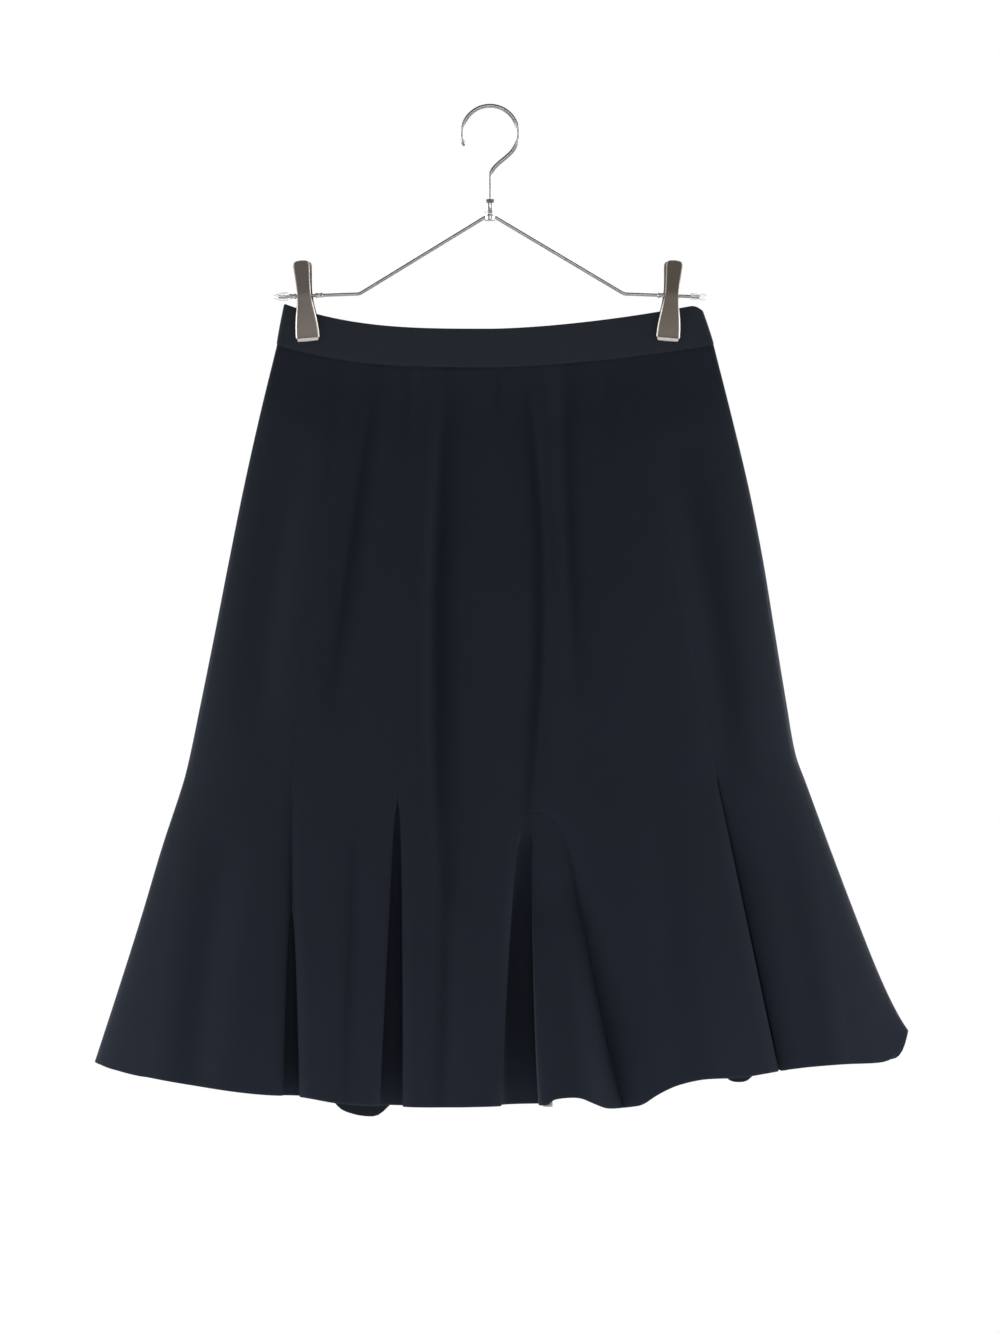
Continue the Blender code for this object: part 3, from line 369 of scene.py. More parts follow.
# Soft unevenness a hand wide, and a finger wide: its height, and how fast it changes with x,
# down and face.
UNEVEN = ((0.0010, 11, 4.5, 3.1), (0.00035, 38, 13, 7.7))
UNEVEN_FADE = 0.10
OVAL_FLAT = 2.6  # how flat the oval is in its middle
OVAL_END = 0.6  # how bluntly the oval ends at the sides
BAND_FADE = 0.12  # the band's flat form fades into the oval over this share of the way down
SIDE_POINT_WIDTH = 0.0002  # the side godets start as a point


def unevenness(x, down, face):
    bumps = (high * noise.noise(Vector((x * a, down * b, face * c))) for high, a, b, c in UNEVEN)
    return sum(bumps) * ease(down / UNEVEN_FADE)


def side_fold(x, end):
    """1 away from the side seam, and 0 on it, so that the cloth folds round there."""
    inside = min(1.0, (abs(end) - abs(x)) / SIDE_ROUND)
    return math.sqrt(max(0.0, 1 - (1 - inside) ** 2))


def depth(x, down, face):
    """How far the cloth stands from the middle plane, away from the godets' lips."""
    end, parted = side_end("side_right" if x > 0 else "side_left", down)
    f = min(1.0, abs(x) / reach(side_of(x), down))
    oval = fullness(face, down) * (1 - f**OVAL_FLAT) ** OVAL_END
    plain = mix(band_depth(x, face), oval, ease(down / BAND_FADE))
    detail = fold_depth(x, down, face) + unevenness(x, down, face) * (1 - f**4)
    least = SIDE_POINT_WIDTH / 2 if down >= SIDES["side_right"]["point"] else 0.0
    return max(least, (plain + detail) * mix(side_fold(x, end), 1.0, parted))


print("the front stands", round(depth(0, 0.5, -1) * 1000, 1), "mm out at its middle")

# %% [markdown]
# ## Lips and godets
# Below its point a seam parts into two lips.  Each gore turns in a little at its lip, and the
# godet runs from one lip, back into the fold and out to the other.  At the lips the seam itself
# shows as a fine groove: two cloths meet there, and the stitches pull them in.

# %% Seams and lips
POINT_WIDTH = 0.0001  # a godet starts as a point
SIDE_GRAIN = 0.3  # how far a gore's columns keep to the side's own line, and not to its godet's edge


def opened(q):
    return min(1.0, q / MOUTH_OPEN)


@lru_cache(maxsize=None)
def lips(number, down):
    """x of a godet's first and last lip, in the order of the walk; equal above its point."""
    seam = SEAMS[number]
    if down < seam["point"]:
        x = bent(seam["waist"], seam["middle"], seam["point_x"], down / seam["point"])
        return x, x
    q = past_point(down, seam["point"])
    if seam["name"] == FLUTE_SEAM:
        return read(FLUTE_LIPS, "left", "past", q), read(FLUTE_LIPS, "right", "past", q)
    middle = mix(seam["point_x"], (seam["hem_from"] + seam["hem_to"]) / 2, q ** seam["drift"])
    at_hem = abs(seam["hem_to"] - seam["hem_from"])
    wider = past_point(q, seam["shut"]) ** seam["ease"]
    width = mix(POINT_WIDTH, seam["mouth"], opened(q)) + (at_hem - seam["mouth"]) * wider
    half = -seam["face"] * width / 2
    return middle - half, middle + half


def seam_line(x, down, number):
    """x of a seam, and below its godet's point of the straight line between the lips."""
    if number is None:
        return mix(x, side_of(x) * reach(side_of(x), down), SIDE_GRAIN)
    if down < SEAMS[number]["point"]:
        return x
    seam = SEAMS[number]
    return mix(seam["point_x"], (seam["hem_from"] + seam["hem_to"]) / 2, past_point(down, seam["point"]))


print("the flute's lips at the hem are at", [round(x, 4) for x in lips(2, 1.0)])

# %% How a gore's edges turn in
SEAM_DENT = 0.00012
SEAM_DENT_REACH = 0.0014
ALLOWANCE_SWELL = 0.00005  # the seam allowances pressed open behind the seam
ALLOWANCE_AT, ALLOWANCE_REACH = 0.0065, 0.0030
TURN_SOON = 3  # how soon below a godet's point the edges beside it have turned in
# How far an edge turns in to meet a godet, and over what width: before the godet and after it.
LIP_TURN = ((0.0038, 0.0090), (0.0038, 0.0090))
TUCKS = {
    "front_right": ((0.0050, 0.0090), (0.0140, 0.0360)),
    "front_far_right": ((0.0022, 0.0120), (0.0062, 0.0500)),
}


def turned_in(x, down, lip, number, after):
    """How far a gore's edge has turned in at x, towards a seam or a godet's lip."""
    if number is None:
        return 0.0
    away = abs(x - lip)
    dent = SEAM_DENT * math.exp(-((away / SEAM_DENT_REACH) ** 2))
    dent -= ALLOWANCE_SWELL * math.exp(-(((away - ALLOWANCE_AT) / ALLOWANCE_REACH) ** 2))
    turn, strip = TUCKS.get(SEAMS[number]["name"], LIP_TURN)[after]
    near = max(0.0, 1 - away / strip)
    return dent + turn * min(1.0, TURN_SOON * past_point(down, SEAMS[number]["point"])) * near**2


print("after the flute the edge tucks in by", TUCKS[FLUTE_SEAM][1][0] * 1000, "mm")

# %% Rows of the gores
GORE_STEPS = 40
EVEN_STEPS = 0.4  # the rest of the steps crowd towards the seams
WAIST_DENT = 0.0005  # the groove under the waistband, and how far down it fades
WAIST_DENT_REACH = 0.003
GORE_BULGE = 0.009  # how far a gore swells out between two godets at the hem
BULGE_FROM, BULGE_GROWTH = 0.5, 1.5
BULGE_WIDE = 0.12  # a narrower gore swells less


def spread(k, steps):
    """Evenly spaced shares that crowd a little towards both ends."""
    f = k / steps
    return mix((1 - math.cos(math.pi * f)) / 2, f, EVEN_STEPS)


def gore_row(face, start, end, down):
    """A gore's row, from the lip of one godet to the lip of the next; start and end are (x, seam)."""
    row = []
    first, last = seam_line(start[0], down, start[1]), seam_line(end[0], down, end[1])
    for k in range(GORE_STEPS + 1):
        f = spread(k, GORE_STEPS)
        x = mix(first, last, f) + (start[0] - first) * (1 - f) ** 2 + (end[0] - last) * f**2
        y = depth(x, down, face)
        bulge = math.sin(math.pi * min(max((x - first) / (last - first), 0.0), 1.0))
        bulge *= min(1.0, abs(last - first) / BULGE_WIDE)
        y += GORE_BULGE * past_point(down, BULGE_FROM) ** BULGE_GROWTH * bulge
        y -= turned_in(x, down, *start, True) + turned_in(x, down, *end, False)
        y -= min(y, WAIST_DENT * math.exp(-((down / WAIST_DENT_REACH) ** 2)))
        row.append(Vector((x, face * y, height(x, down, face))))
    return row


print("a gore has", GORE_STEPS, "strips from seam to seam")

# %% [markdown]
# The plain godets fold straight back like a closed fan.  The one right of the middle does more:
# it folds in at its left lip, swings forward as a flute, and tucks under the next gore.  The two
# at the side seams stand out round the sides.

# %% Rows of the plain godets
GODET_STEPS = 28
GODET_BLUNT = 0.8  # below 1, the fold at the back of a godet is rounder
GODET_GROWTH = 0.8  # how a godet deepens towards the hem: below 1 early, above 1 late
GODET_SHUT = 0.8  # it starts to deepen at this share of the length along which its mouth stays shut
BELLY_SOON = 2.5  # how soon below its point a godet has its full form


def godet_row(number, first, last, down):
    seam = SEAMS[number]
    q = past_point(down, seam["point"])
    deep = seam["deep"] * past_point(q, GODET_SHUT * seam["shut"]) ** GODET_GROWTH
    belly = seam["belly"] * ease(q * BELLY_SOON)
    row = []
    for k in range(GODET_STEPS + 1):
        f = k / GODET_STEPS
        turn = math.pi * f
        x = mix(first.x, last.x, mix(f, (1 - math.cos(turn)) / 2, opened(q)))
        x += math.copysign(belly, first.x - last.x) * math.sin(2 * turn)
        y = mix(first.y, last.y, f) - seam["face"] * deep * math.sin(turn) ** GODET_BLUNT
        row.append(Vector((x, y, mix(first.z, last.z, f))))
    return row


print("a plain godet has", GODET_STEPS, "strips")

# %% Rows of the flute
FLUTE_STEPS = 55
FLUTE_GROWTH = 1.15  # the flute deepens late
FLUTE_SOON = 6  # but swings across soon


def curve_value(values, i, f):
    """A value on the smooth curve through evenly spaced values, at f after value i."""
    before = values[max(i - 1, 0)]
    after = values[min(i + 2, len(values) - 1)]
    a, b = values[i], values[i + 1]
    cubic = 3 * (a - b) + after - before
    square = 2 * before - 5 * a + 4 * b - after
    return a + 0.5 * f * (b - before + f * (square + f * cubic))


def flute_row(number, first, last, down):
    seam = SEAMS[number]
    q = past_point(down, seam["point"])
    across_values = [point["across"] for point in FLUTE]
    deep_values = [point["deep"] for point in FLUTE]
    row = []
    for k in range(FLUTE_STEPS + 1):
        f = k / FLUTE_STEPS
        at = f * (len(FLUTE) - 1)
        i = min(int(at), len(FLUTE) - 2)
        across = mix(f, curve_value(across_values, i, at - i), ease(q * FLUTE_SOON))
        sunk = q**FLUTE_GROWTH * curve_value(deep_values, i, at - i)
        x = mix(first.x, last.x, across)
        y = mix(first.y, last.y, f) - seam["face"] * sunk
        row.append(Vector((x, y, height(x, down, seam["face"]))))
    return row


print("the flute has", FLUTE_STEPS, "strips")

# %% Rows of the side godets
SIDE_BLUNT = 0.9  # below 1, its fold is rounder


def side_row(side, first, last, down):
    q = past_point(down, side["point"])
    out = reach(side["sign"], down) - abs(first.x)
    row = []
    for k in range(GODET_STEPS + 1):
        f = k / GODET_STEPS
        turn = math.pi * f
        share = max(0.0, math.sin(turn)) ** SIDE_BLUNT
        x = abs(first.x) + out * share
        lens = (1 - math.copysign((1 - share) ** OVAL_END, math.cos(turn))) / 2
        y = mix(first.y, last.y, mix(f, lens, opened(q)))
        late = side["late"][0 if (f < 0.5) == (side["sign"] > 0) else 1]
        z = mix(first.z, last.z, f) + side["lift"] * q ** side["low"] * share**late
        row.append(Vector((x * side["sign"], y, z)))
    return row


print("a side godet lifts", [side["lift"] for side in SIDES.values()], "m at its fold")

# %% [markdown]
# ## Walking round the skirt
# `walk` strings the rows of one section together in order.  The outward direction at each point
# is found on the whole closed line and not piece by piece.  Two neighbours then share the same
# direction at their seam, so their edges meet with no step.


# %% Walk round one section
FACES = (
    (-1, FRONT_GORES, "side_left", "side_right"),
    (1, BACK_GORES, "side_right", "side_left"),
)


def walk(down):
    """Each piece's row of points at one height, in the order of the walk."""
    pieces = {}
    for face, gores, side_before, side_after in FACES:
        numbers = [n for n, seam in enumerate(SEAMS) if seam["face"] == face]
        starts = [(side_end(side_before, down)[0], None)]
        starts += [(lips(number, down)[1], number) for number in numbers]
        ends = [(lips(number, down)[0], number) for number in numbers]
        ends.append((side_end(side_after, down)[0], None))
        rows = [gore_row(face, start, end, down) for start, end in zip(starts, ends)]
        for place, gore in enumerate(gores):
            pieces[gore] = rows[place]
            if place == len(numbers) or down < SEAMS[numbers[place]]["point"]:
                continue
            name = SEAMS[numbers[place]]["name"]
            make_row = flute_row if name == FLUTE_SEAM else godet_row
            first, last = rows[place][-1], rows[place + 1][0]
            pieces["godet_" + name] = make_row(numbers[place], first, last, down)
        if down >= SIDES[side_after]["point"]:
            pieces["godet_" + side_after] = []  # keeps its place until both its lips are known
    for name, before, after in (
        ("side_right", "gore_front_side_right", "gore_back_side_right"),
        ("side_left", "gore_back_side_left", "gore_front_side_left"),
    ):
        if down >= SIDES[name]["point"]:
            first, last = pieces[before][-1], pieces[after][0]
            pieces["godet_" + name] = side_row(SIDES[name], first, last, down)
    return pieces


print("at the hem one walk passes", len(walk(1.0)), "pieces")

# %% Outward directions
SAME_PLACE = 1e-6


def unit(ways):
    return ways / np.maximum(np.linalg.norm(ways, axis=-1, keepdims=True), 1e-12)


def with_outward(pieces):
    """Each piece's row as (points, outward directions), as two arrays."""
    ring = []
    places = {}
    for name, row in pieces.items():
        meets = bool(ring) and (row[0] - ring[-1]).length < SAME_PLACE
        start = len(ring) - 1 if meets else len(ring)
        ring.extend(row[1:] if meets else row)
        places[name] = (start, start + len(row))
    if (ring[-1] - ring[0]).length < SAME_PLACE:
        ring.pop()
    points = np.array(ring)
    edges = unit((np.roll(points, -1, axis=0) - points)[:, :2])
    along = edges + np.roll(edges, 1, axis=0)
    outward = unit(np.stack([along[:, 1], -along[:, 0], np.zeros(len(ring))], axis=1))
    found = {}
    for name, (start, stop) in places.items():
        where = np.arange(start, stop) % len(ring)
        found[name] = (np.array(pieces[name]), outward[where])
    return found


print("half way down one walk has", sum(len(row[0]) for row in with_outward(walk(0.5)).values()), "points")

# %% [markdown]
# Rows crowd under the waist seam, where the cloth comes out from under the band, and at the
# upper edge of the turned-up hem.  Both heights at which godets start are rows too.

# %% All the rows of the skirt
HEM_TURN = 0.953
HEM_TURN_EDGE = 0.0010
ROWS = [0.0, 0.0012, 0.0026, 0.005, 0.009, 0.015, 0.022]
ROWS += list(np.linspace(0.030, 0.580, 84))
ROWS += list(np.linspace(0.580, 0.605, 7))[1:]
ROWS += [0.606, 0.608] + list(np.linspace(0.605, HEM_TURN - HEM_TURN_EDGE, 56))[1:]
ROWS += list(np.linspace(HEM_TURN, 1.0, 11))
ROWS = [round(float(down), 6) for down in ROWS]
skirt_rows = {}
for down in ROWS:
    for name, row in with_outward(walk(down)).items():
        skirt_rows.setdefault(name, []).append((down, *row))
print(len(ROWS), "rows,", sum(len(rows) * len(rows[0][1]) for rows in skirt_rows.values()), "points")

# %% [markdown]
# ## A sheet with two faces
# Cloth is a sheet with two faces and an edge.  A Solidify modifier would give every edge the
# same square rim, but a hem and a band's top are folds: the cloth turns round them.  So the
# shell is wound by hand.  Each column of points goes down the outer face, round the foot, up the
# inner face and, on the band, round the top.  The texture coordinates are metres on the cloth,
# measured from the middle of the piece, so the weave has its real size and follows the grain.

# %% Wind a shell
ROLL_STEPS = 4  # points round a folded edge


def folded_edge(first, last, beyond):
    """Rows that turn round an edge, from one face's last row to the other's first."""
    middle, half = (first + last) / 2, (first - last) / 2
    radius = np.linalg.norm(half, axis=1, keepdims=True)
    turns = [math.pi * (k + 1) / (ROLL_STEPS + 1) for k in range(ROLL_STEPS)]
    return [middle + half * math.cos(turn) + beyond * radius * math.sin(turn) for turn in turns]


def wound(outer, inner, fold_top, fold_foot):
    """The rows of a shell in the order in which a column runs round it."""
    half = ROLL_STEPS // 2
    top, foot = [], []
    if fold_foot:
        foot = folded_edge(outer[-1], inner[-1], unit(outer[-1] - outer[-2]))
    if fold_top:
        top = folded_edge(inner[0], outer[0], unit(outer[0] - outer[1]))
    return np.stack([*top[half:], *outer, *foot, *inner[::-1], *top[:half]])


def shell_faces(count, columns):
    """The quads of a wound shell, and those that close its two side edges."""
    faces = []
    for a in range(count):
        b = (a + 1) % count
        for c in range(columns - 1):
            faces.append((a * columns + c, b * columns + c, b * columns + c + 1, a * columns + c + 1))
    for a in range(count // 2 - 1):
        edge = [a, a + 1, count - 2 - a, count - 1 - a]
        faces.append([i * columns for i in reversed(edge)])
        faces.append([i * columns + columns - 1 for i in edge])
    return faces


def turned_outward(points, faces):
    """The faces, reversed if they enclose a negative volume."""
    corners = points[np.array([face[:3] for face in faces])]
    volume = np.einsum("ij,ij->i", corners[:, 0], np.cross(corners[:, 1], corners[:, 2])).sum()
    return faces if volume > 0 else [tuple(reversed(face)) for face in faces]


print("a shell winds round", ROLL_STEPS, "points at each folded edge")

# %% Make the shell's mesh
SHARP_OVER = math.radians(50)


def new_object(name, mesh, material=None):
    made = bpy.data.objects.new(name, mesh)
    bpy.context.scene.collection.objects.link(made)
    if material:
        mesh.materials.append(material)
    return made


def shell(name, outer, inner, material, fold_top=False, fold_foot=True):
    """A closed piece from two grids of points, with metres as its texture coordinates."""
    rings = wound(outer, inner, fold_top, fold_foot)
    count, columns = rings.shape[:2]
    points = rings.reshape(-1, 3)
    mesh = bpy.data.meshes.new(name)
    mesh.from_pydata(points.tolist(), [], turned_outward(points, shell_faces(count, columns)))
    across = np.linalg.norm(np.diff(rings, axis=1), axis=2).cumsum(axis=1)
    across = np.pad(across, ((0, 0), (1, 0)))
    middle = rings[:, columns // 2]
    runs = np.sign(rings[0, -1, 0] - rings[0, 0, 0])
    across += (runs * middle[:, 0] - across[:, columns // 2])[:, None]
    down = np.pad(np.linalg.norm(np.diff(middle[:, 1:], axis=0), axis=1).cumsum(), (1, 0))
    uv = np.stack([across, np.broadcast_to(-down[:, None], across.shape)], axis=2).reshape(-1, 2)
    corner_of = np.empty(len(mesh.loops), np.int32)
    mesh.loops.foreach_get("vertex_index", corner_of)
    mesh.uv_layers.new(name="cloth").data.foreach_set("uv", uv[corner_of].ravel())
    mesh.shade_smooth()
    mesh.set_sharp_from_angle(angle=SHARP_OVER)
    ends = np.empty(2 * len(mesh.edges), np.int32)
    mesh.edges.foreach_get("vertices", ends)
    column = ends.reshape(-1, 2) % columns
    for edge in np.flatnonzero((column[:, 0] == column[:, 1]) & np.isin(column[:, 0], (0, columns - 1))):
        mesh.edges[int(edge)].use_edge_sharp = True
    return new_object(name, mesh, material)


print("edges sharper than", round(math.degrees(SHARP_OVER)), "degrees stay crisp")

# %% [markdown]
# ## Building materials in few words
# Every finish here starts from one Principled shader.  What is the same all over, such as its
# sheen, is set on the shader's own sockets.  What changes from place to place comes from
# textures worked out by nodes, wired in with the small helper `add`.


# %% Wire nodes together
def new_material(name, colour, roughness, metallic=0.0, **more):
    """A material whose shader has these constants on its own sockets."""
    made = bpy.data.materials.new(name)
    made.use_nodes = True
    shader = made.node_tree.nodes["Principled BSDF"]
    shader.inputs["Base Color"].default_value = (*colour, 1.0)
    shader.inputs["Roughness"].default_value = roughness
    shader.inputs["Metallic"].default_value = metallic
    for socket, value in more.items():
        shader.inputs[socket.replace("_", " ")].default_value = value
    return made


def add(material, kind, inputs, **settings):
    """A new node; each of its inputs is a value or another node's output."""
    made = material.node_tree.nodes.new("ShaderNode" + kind)
    for key, value in settings.items():
        setattr(made, key, value)
    for socket, value in inputs.items():
        if isinstance(value, bpy.types.NodeSocket):
            material.node_tree.links.new(value, made.inputs[socket])
        else:
            made.inputs[socket].default_value = value
    return made


def wire_up(material, socket, output):
    shader = material.node_tree.nodes["Principled BSDF"]
    material.node_tree.links.new(output, shader.inputs[socket])


def mixed(material, factor, first, second):
    """A colour between two; factor 0 gives the first."""
    inputs = {0: factor, 6: (*first, 1.0) if isinstance(first, tuple) else first, 7: (*second, 1.0)}
    return add(material, "Mix", inputs, data_type="RGBA").outputs[2]


def summed(material, first, share, second):
    """first + share * second, for heights."""
    inputs = {0: second, 1: share, 2: first}
    return add(material, "Math", inputs, operation="MULTIPLY_ADD").outputs[0]


def bumped(material, height, distance):
    wire_up(material, "Normal", add(material, "Bump", {"Height": height, "Distance": distance}).outputs[0])


print("helpers for materials ready")

# %% Grains and weaves
WAVE_TURN = 2 * math.pi / 10  # a diagonal band wave repeats after this over its scale


def grained(name, colour, roughness, scale, distance, detail=2.0, **more):
    """A plain material with a fine, uneven grain."""
    made = new_material(name, colour, roughness, **more)
    bumped(made, add(made, "TexNoise", {"Scale": scale, "Detail": detail}).outputs["Fac"], distance)
    return made


def cloth_metres(material):
    return add(material, "UVMap", {}, uv_map="cloth").outputs[0]


def ribbed(material, width, **more):
    """A diagonal wave on the cloth, with ribs of this width."""
    inputs = {"Vector": cloth_metres(material), "Scale": WAVE_TURN / width, **more}
    return add(material, "TexWave", inputs, bands_direction="DIAGONAL").outputs["Fac"]


def tape_weave(name, dark, light, roughness, rib, distance, **more):
    """A narrow diagonal weave, for the zip's tapes and the hem's."""
    made = new_material(name, light, roughness, **more)
    weave = ribbed(made, rib)
    wire_up(made, "Base Color", mixed(made, weave, dark, light))
    bumped(made, weave, distance)
    return made


print("a rib of a millimetre needs a wave of scale", round(WAVE_TURN / 0.001))

# %% [markdown]
# ## The suiting
# The cloth is a smooth worsted twill: fine ribs run up it at an angle, about 0.6 mm apart.  It
# is nearly black navy and matt, with a faint cool sheen where it turns away.  The ribs are a
# diagonal wave, the yarns a noise drawn out along the grain, and a broad noise makes the dye
# and the pressing a little uneven, as they always are.  The waistband is fused to an
# interfacing, and its copy of the suiting is paler and greyer: painted light, for the brighter light that
# falls on the band.

# %% Suiting
RIB = 0.0006
NAVY_DEEP = (0.0034, 0.0059, 0.0122)
NAVY_LIGHT = (0.0066, 0.0106, 0.0203)


# paler scales both navy colours; above 1 it gives a copy with painted light in it
def suiting(name, paler):
    deep, light = (tuple(c * p for c, p in zip(colour, paler)) for colour in (NAVY_DEEP, NAVY_LIGHT))
    made = new_material(
        name, deep, 0.82, Specular_IOR_Level=0.22, Sheen_Weight=0.20,
        Sheen_Roughness=0.38, Sheen_Tint=(0.62, 0.72, 0.92, 1.0),
    )  # fmt: skip
    ribs = ribbed(made, RIB, Distortion=1.4, Detail=1.0)
    cloth = cloth_metres(made)
    drawn_out = add(made, "Mapping", {"Vector": cloth, "Scale": (2400.0, 260.0, 1.0)}).outputs[0]
    yarns = add(made, "TexNoise", {"Vector": drawn_out, "Scale": 1.0, "Detail": 2.0}).outputs["Fac"]
    patches = add(made, "TexNoise", {"Vector": cloth, "Scale": 14.0, "Detail": 4.0}).outputs["Fac"]
    shade = summed(made, summed(made, 0.0, 0.35, ribs), 0.65, yarns)
    uneven = add(made, "MapRange", {"Value": patches, "From Min": 0.3, "From Max": 0.7, "To Max": 0.25})
    wire_up(made, "Base Color", mixed(made, uneven.outputs[0], mixed(made, shade, deep, light), deep))
    bumped(made, summed(made, ribs, 0.8, yarns), 0.00007)
    return made


navy_suiting = suiting("navy_suiting", (1.0, 1.0, 1.0))
# the band's copy is paler and greyer: painted light, standing in for the brighter light on the waistband
band_painted_light_suiting = suiting("band_painted_light_suiting", (2.50, 2.05, 1.50))
print("ribs every", RIB * 1000, "mm")

# %% [markdown]
# ## Gores and godets
# Each piece of the skirt is now wound from its rows.  The outer face keeps the form.  At the
# foot the cloth is turned up inside by a few centimetres and blind stitched, so there the inner
# face lies further in, and a soft step shows where the turning ends.  Beside the zip both edges
# roll in, so the closing shows as one fine groove.

# %% Lay the gores and godets
WALL = 0.0010  # the suiting itself is thinner than the solid that stands for it
HEM_WALL = 0.0009  # the second layer where the hem is turned up
ZIP_EDGES = {"gore_back_right": -1, "gore_back_left": 0, "band_back_right": -1, "band_back_left": 0}
ZIP_GROOVE, ZIP_GROOVE_REACH = 0.0009, 0.0007
ZIP_FOOT, ZIP_FADE = 0.385, 0.02  # where the zip ends, in metres below the rail


def take_place(piece, node):
    """Lets a finished piece ride on the skirt's body, in place of a CAD node if it has one."""
    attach(piece, SKIRT)
    if node:
        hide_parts(node)
    return piece


def zip_groove(node, points):
    """How far the outer face rolls in along the edge that meets the other half at the zip."""
    if node not in ZIP_EDGES:
        return np.zeros((len(points), 1, 1))
    edge = points[:, ZIP_EDGES[node]]
    away = np.linalg.norm(points - edge[:, None], axis=2)
    closed = np.clip((ZIP_FOOT + edge[:, 2]) / ZIP_FADE, 0.0, 1.0)
    return (ZIP_GROOVE * closed[:, None] * np.exp(-((away / ZIP_GROOVE_REACH) ** 2)))[:, :, None]


def lay(node, rows):
    downs, points, outward = (np.stack(column) for column in zip(*rows))
    turned_up = np.where(downs >= HEM_TURN, HEM_WALL, 0.0)[:, None, None]
    outer = points + outward * (WALL / 2 - zip_groove(node, points))
    inner = points - outward * (WALL / 2 + turned_up)
    return take_place(shell(node + "_cloth", outer, inner, navy_suiting), node)


for node, rows in skirt_rows.items():
    lay(node, rows)

# %% [markdown]
# ## The end of the hem tape
# The turning of the hem is bound with a narrow pale tape.  It lies inside and out of sight, but
# for one end that hangs out below the hem behind the flute.  It is a strip of the same kind as
# the other pieces: a few rows of points that follow the back of the cloth.

# %% Hang the tape's end behind the flute
HEM_TAPE_FROM, HEM_TAPE_TO = -0.7735, -0.7957
HEM_TAPE_LEFT, HEM_TAPE_RIGHT = 0.0422, 0.0496
HEM_TAPE_WALL = 0.0004
HEM_TAPE_ROWS, HEM_TAPE_COLUMNS = 10, 9
HEM_TAPE_CURL = 0.0040  # its left edge follows the bend of the flute
HEM_TAPE_BEHIND = WALL / 2 + HEM_WALL + 0.0006


def behind_flute(x, z):
    """How far forward the back of the flute's turned-up hem is."""
    rows = skirt_rows["godet_" + FLUTE_SEAM]
    near = []
    for _, points, _ in (rows[-8], rows[-1]):
        front = points[FLUTE_STEPS // 2 + 1 :]
        near.append([np.interp(x, front[:, 0], front[:, axis]) for axis in (1, 2)])
    (high_y, high_z), (low_y, low_z) = near
    return mix(high_y, low_y, (z - high_z) / (low_z - high_z)) + HEM_TAPE_BEHIND


pale_tape = tape_weave("hem_tape_weave", (0.30, 0.27, 0.30), (0.42, 0.38, 0.42), 0.75, 0.0007, 0.00005)
strip = []
for z in np.linspace(HEM_TAPE_FROM, HEM_TAPE_TO, HEM_TAPE_ROWS):
    strip.append([])
    for f in np.linspace(0.0, 1.0, HEM_TAPE_COLUMNS):
        x = mix(HEM_TAPE_LEFT, HEM_TAPE_RIGHT, f)
        strip[-1].append((x, behind_flute(x, z) + HEM_TAPE_CURL * (1 - f) ** 2, z))
strip = np.array(strip)
half_wall = np.array((0.0, HEM_TAPE_WALL / 2, 0.0))
hem_tape = shell("hem_tape_end_woven", strip - half_wall, strip + half_wall, pale_tape)
take_place(hem_tape, None)
print("the tape's end is", round((HEM_TAPE_FROM - HEM_TAPE_TO) * 1000, 1), "mm long")

# %% [markdown]
# ## The waistband
# The band is a straight strip folded over at its top, interfaced, and sewn to the gores in a
# shallow curve.  Between the clips it swings out a little from the middle; beside them it is
# pinched flat.  Its right end is softened where it has been worn, and its left end is sharp.

# %% Rows of the waistband
BAND_STEPS = 160
BESIDE_ZIP = (0.7, 0.45, 0.26, 0.12)  # more places beside the zip, in steps from it
BAND_ROWS = (0.0, 0.02, 0.05, 0.1, 0.17, 0.26, 0.36, 0.46, 0.56, 0.66, 0.76, 0.84, 0.9, 0.95, 0.98, 1.0)
BAND_SIDE_ROUND = 0.0021
BAND_PILLOW = 0.00025
CORNER_DROP = 0.0048  # how the band's right top corner is rounded off, and over what width
CORNER_WIDE = 0.0090
BAND_TALL = WAIST_DROP - BAND_TOP_DROP


def band_point(across, share_down, face):
    """A point of the band: across from -1 to 1, share_down from its top edge to the waist seam."""
    side = side_of(across)
    top_reach = reach(side, 0.0) - (BAND_SLOPE_LEFT if side < 0 else BAND_SLOPE_RIGHT)
    end = mix(top_reach, reach(side, 0.0), share_down)
    x = across * end
    dip = dipped(across)
    z = -mix(BAND_TOP_DROP + BAND_TOP_DIP * dip, WAIST_DROP + WAIST_DIP * dip, share_down)
    z -= CORNER_DROP * max(0.0, 1 - (end - x) / CORNER_WIDE) ** 2 * (1 - share_down)
    inside = min(1.0, (end - abs(x)) / BAND_SIDE_ROUND)
    return Vector((x, face * band_depth(x, face) * math.sqrt(1 - (1 - inside) ** 2), z))


def band_row(share_down):
    """The three pieces of the band at one height, in the order of the walk."""
    front = [band_point(-math.cos(math.pi * k / BAND_STEPS), share_down, -1) for k in range(BAND_STEPS + 1)]
    half = BAND_STEPS // 2
    to_zip = [*range(half), *(half - step for step in BESIDE_ZIP), half]
    right = [band_point(math.cos(math.pi * k / BAND_STEPS), share_down, 1) for k in to_zip]
    left = [band_point(-math.cos(math.pi * k / BAND_STEPS), share_down, 1) for k in reversed(to_zip)]
    return {"band_front": front, "band_back_right": right, "band_back_left": left}


band_rows = {}
for share_down in BAND_ROWS:
    for name, row in with_outward(band_row(share_down)).items():
        band_rows.setdefault(name, []).append((share_down, *row))
print("the band is", round(BAND_TALL * 1000), "mm tall at its sides")


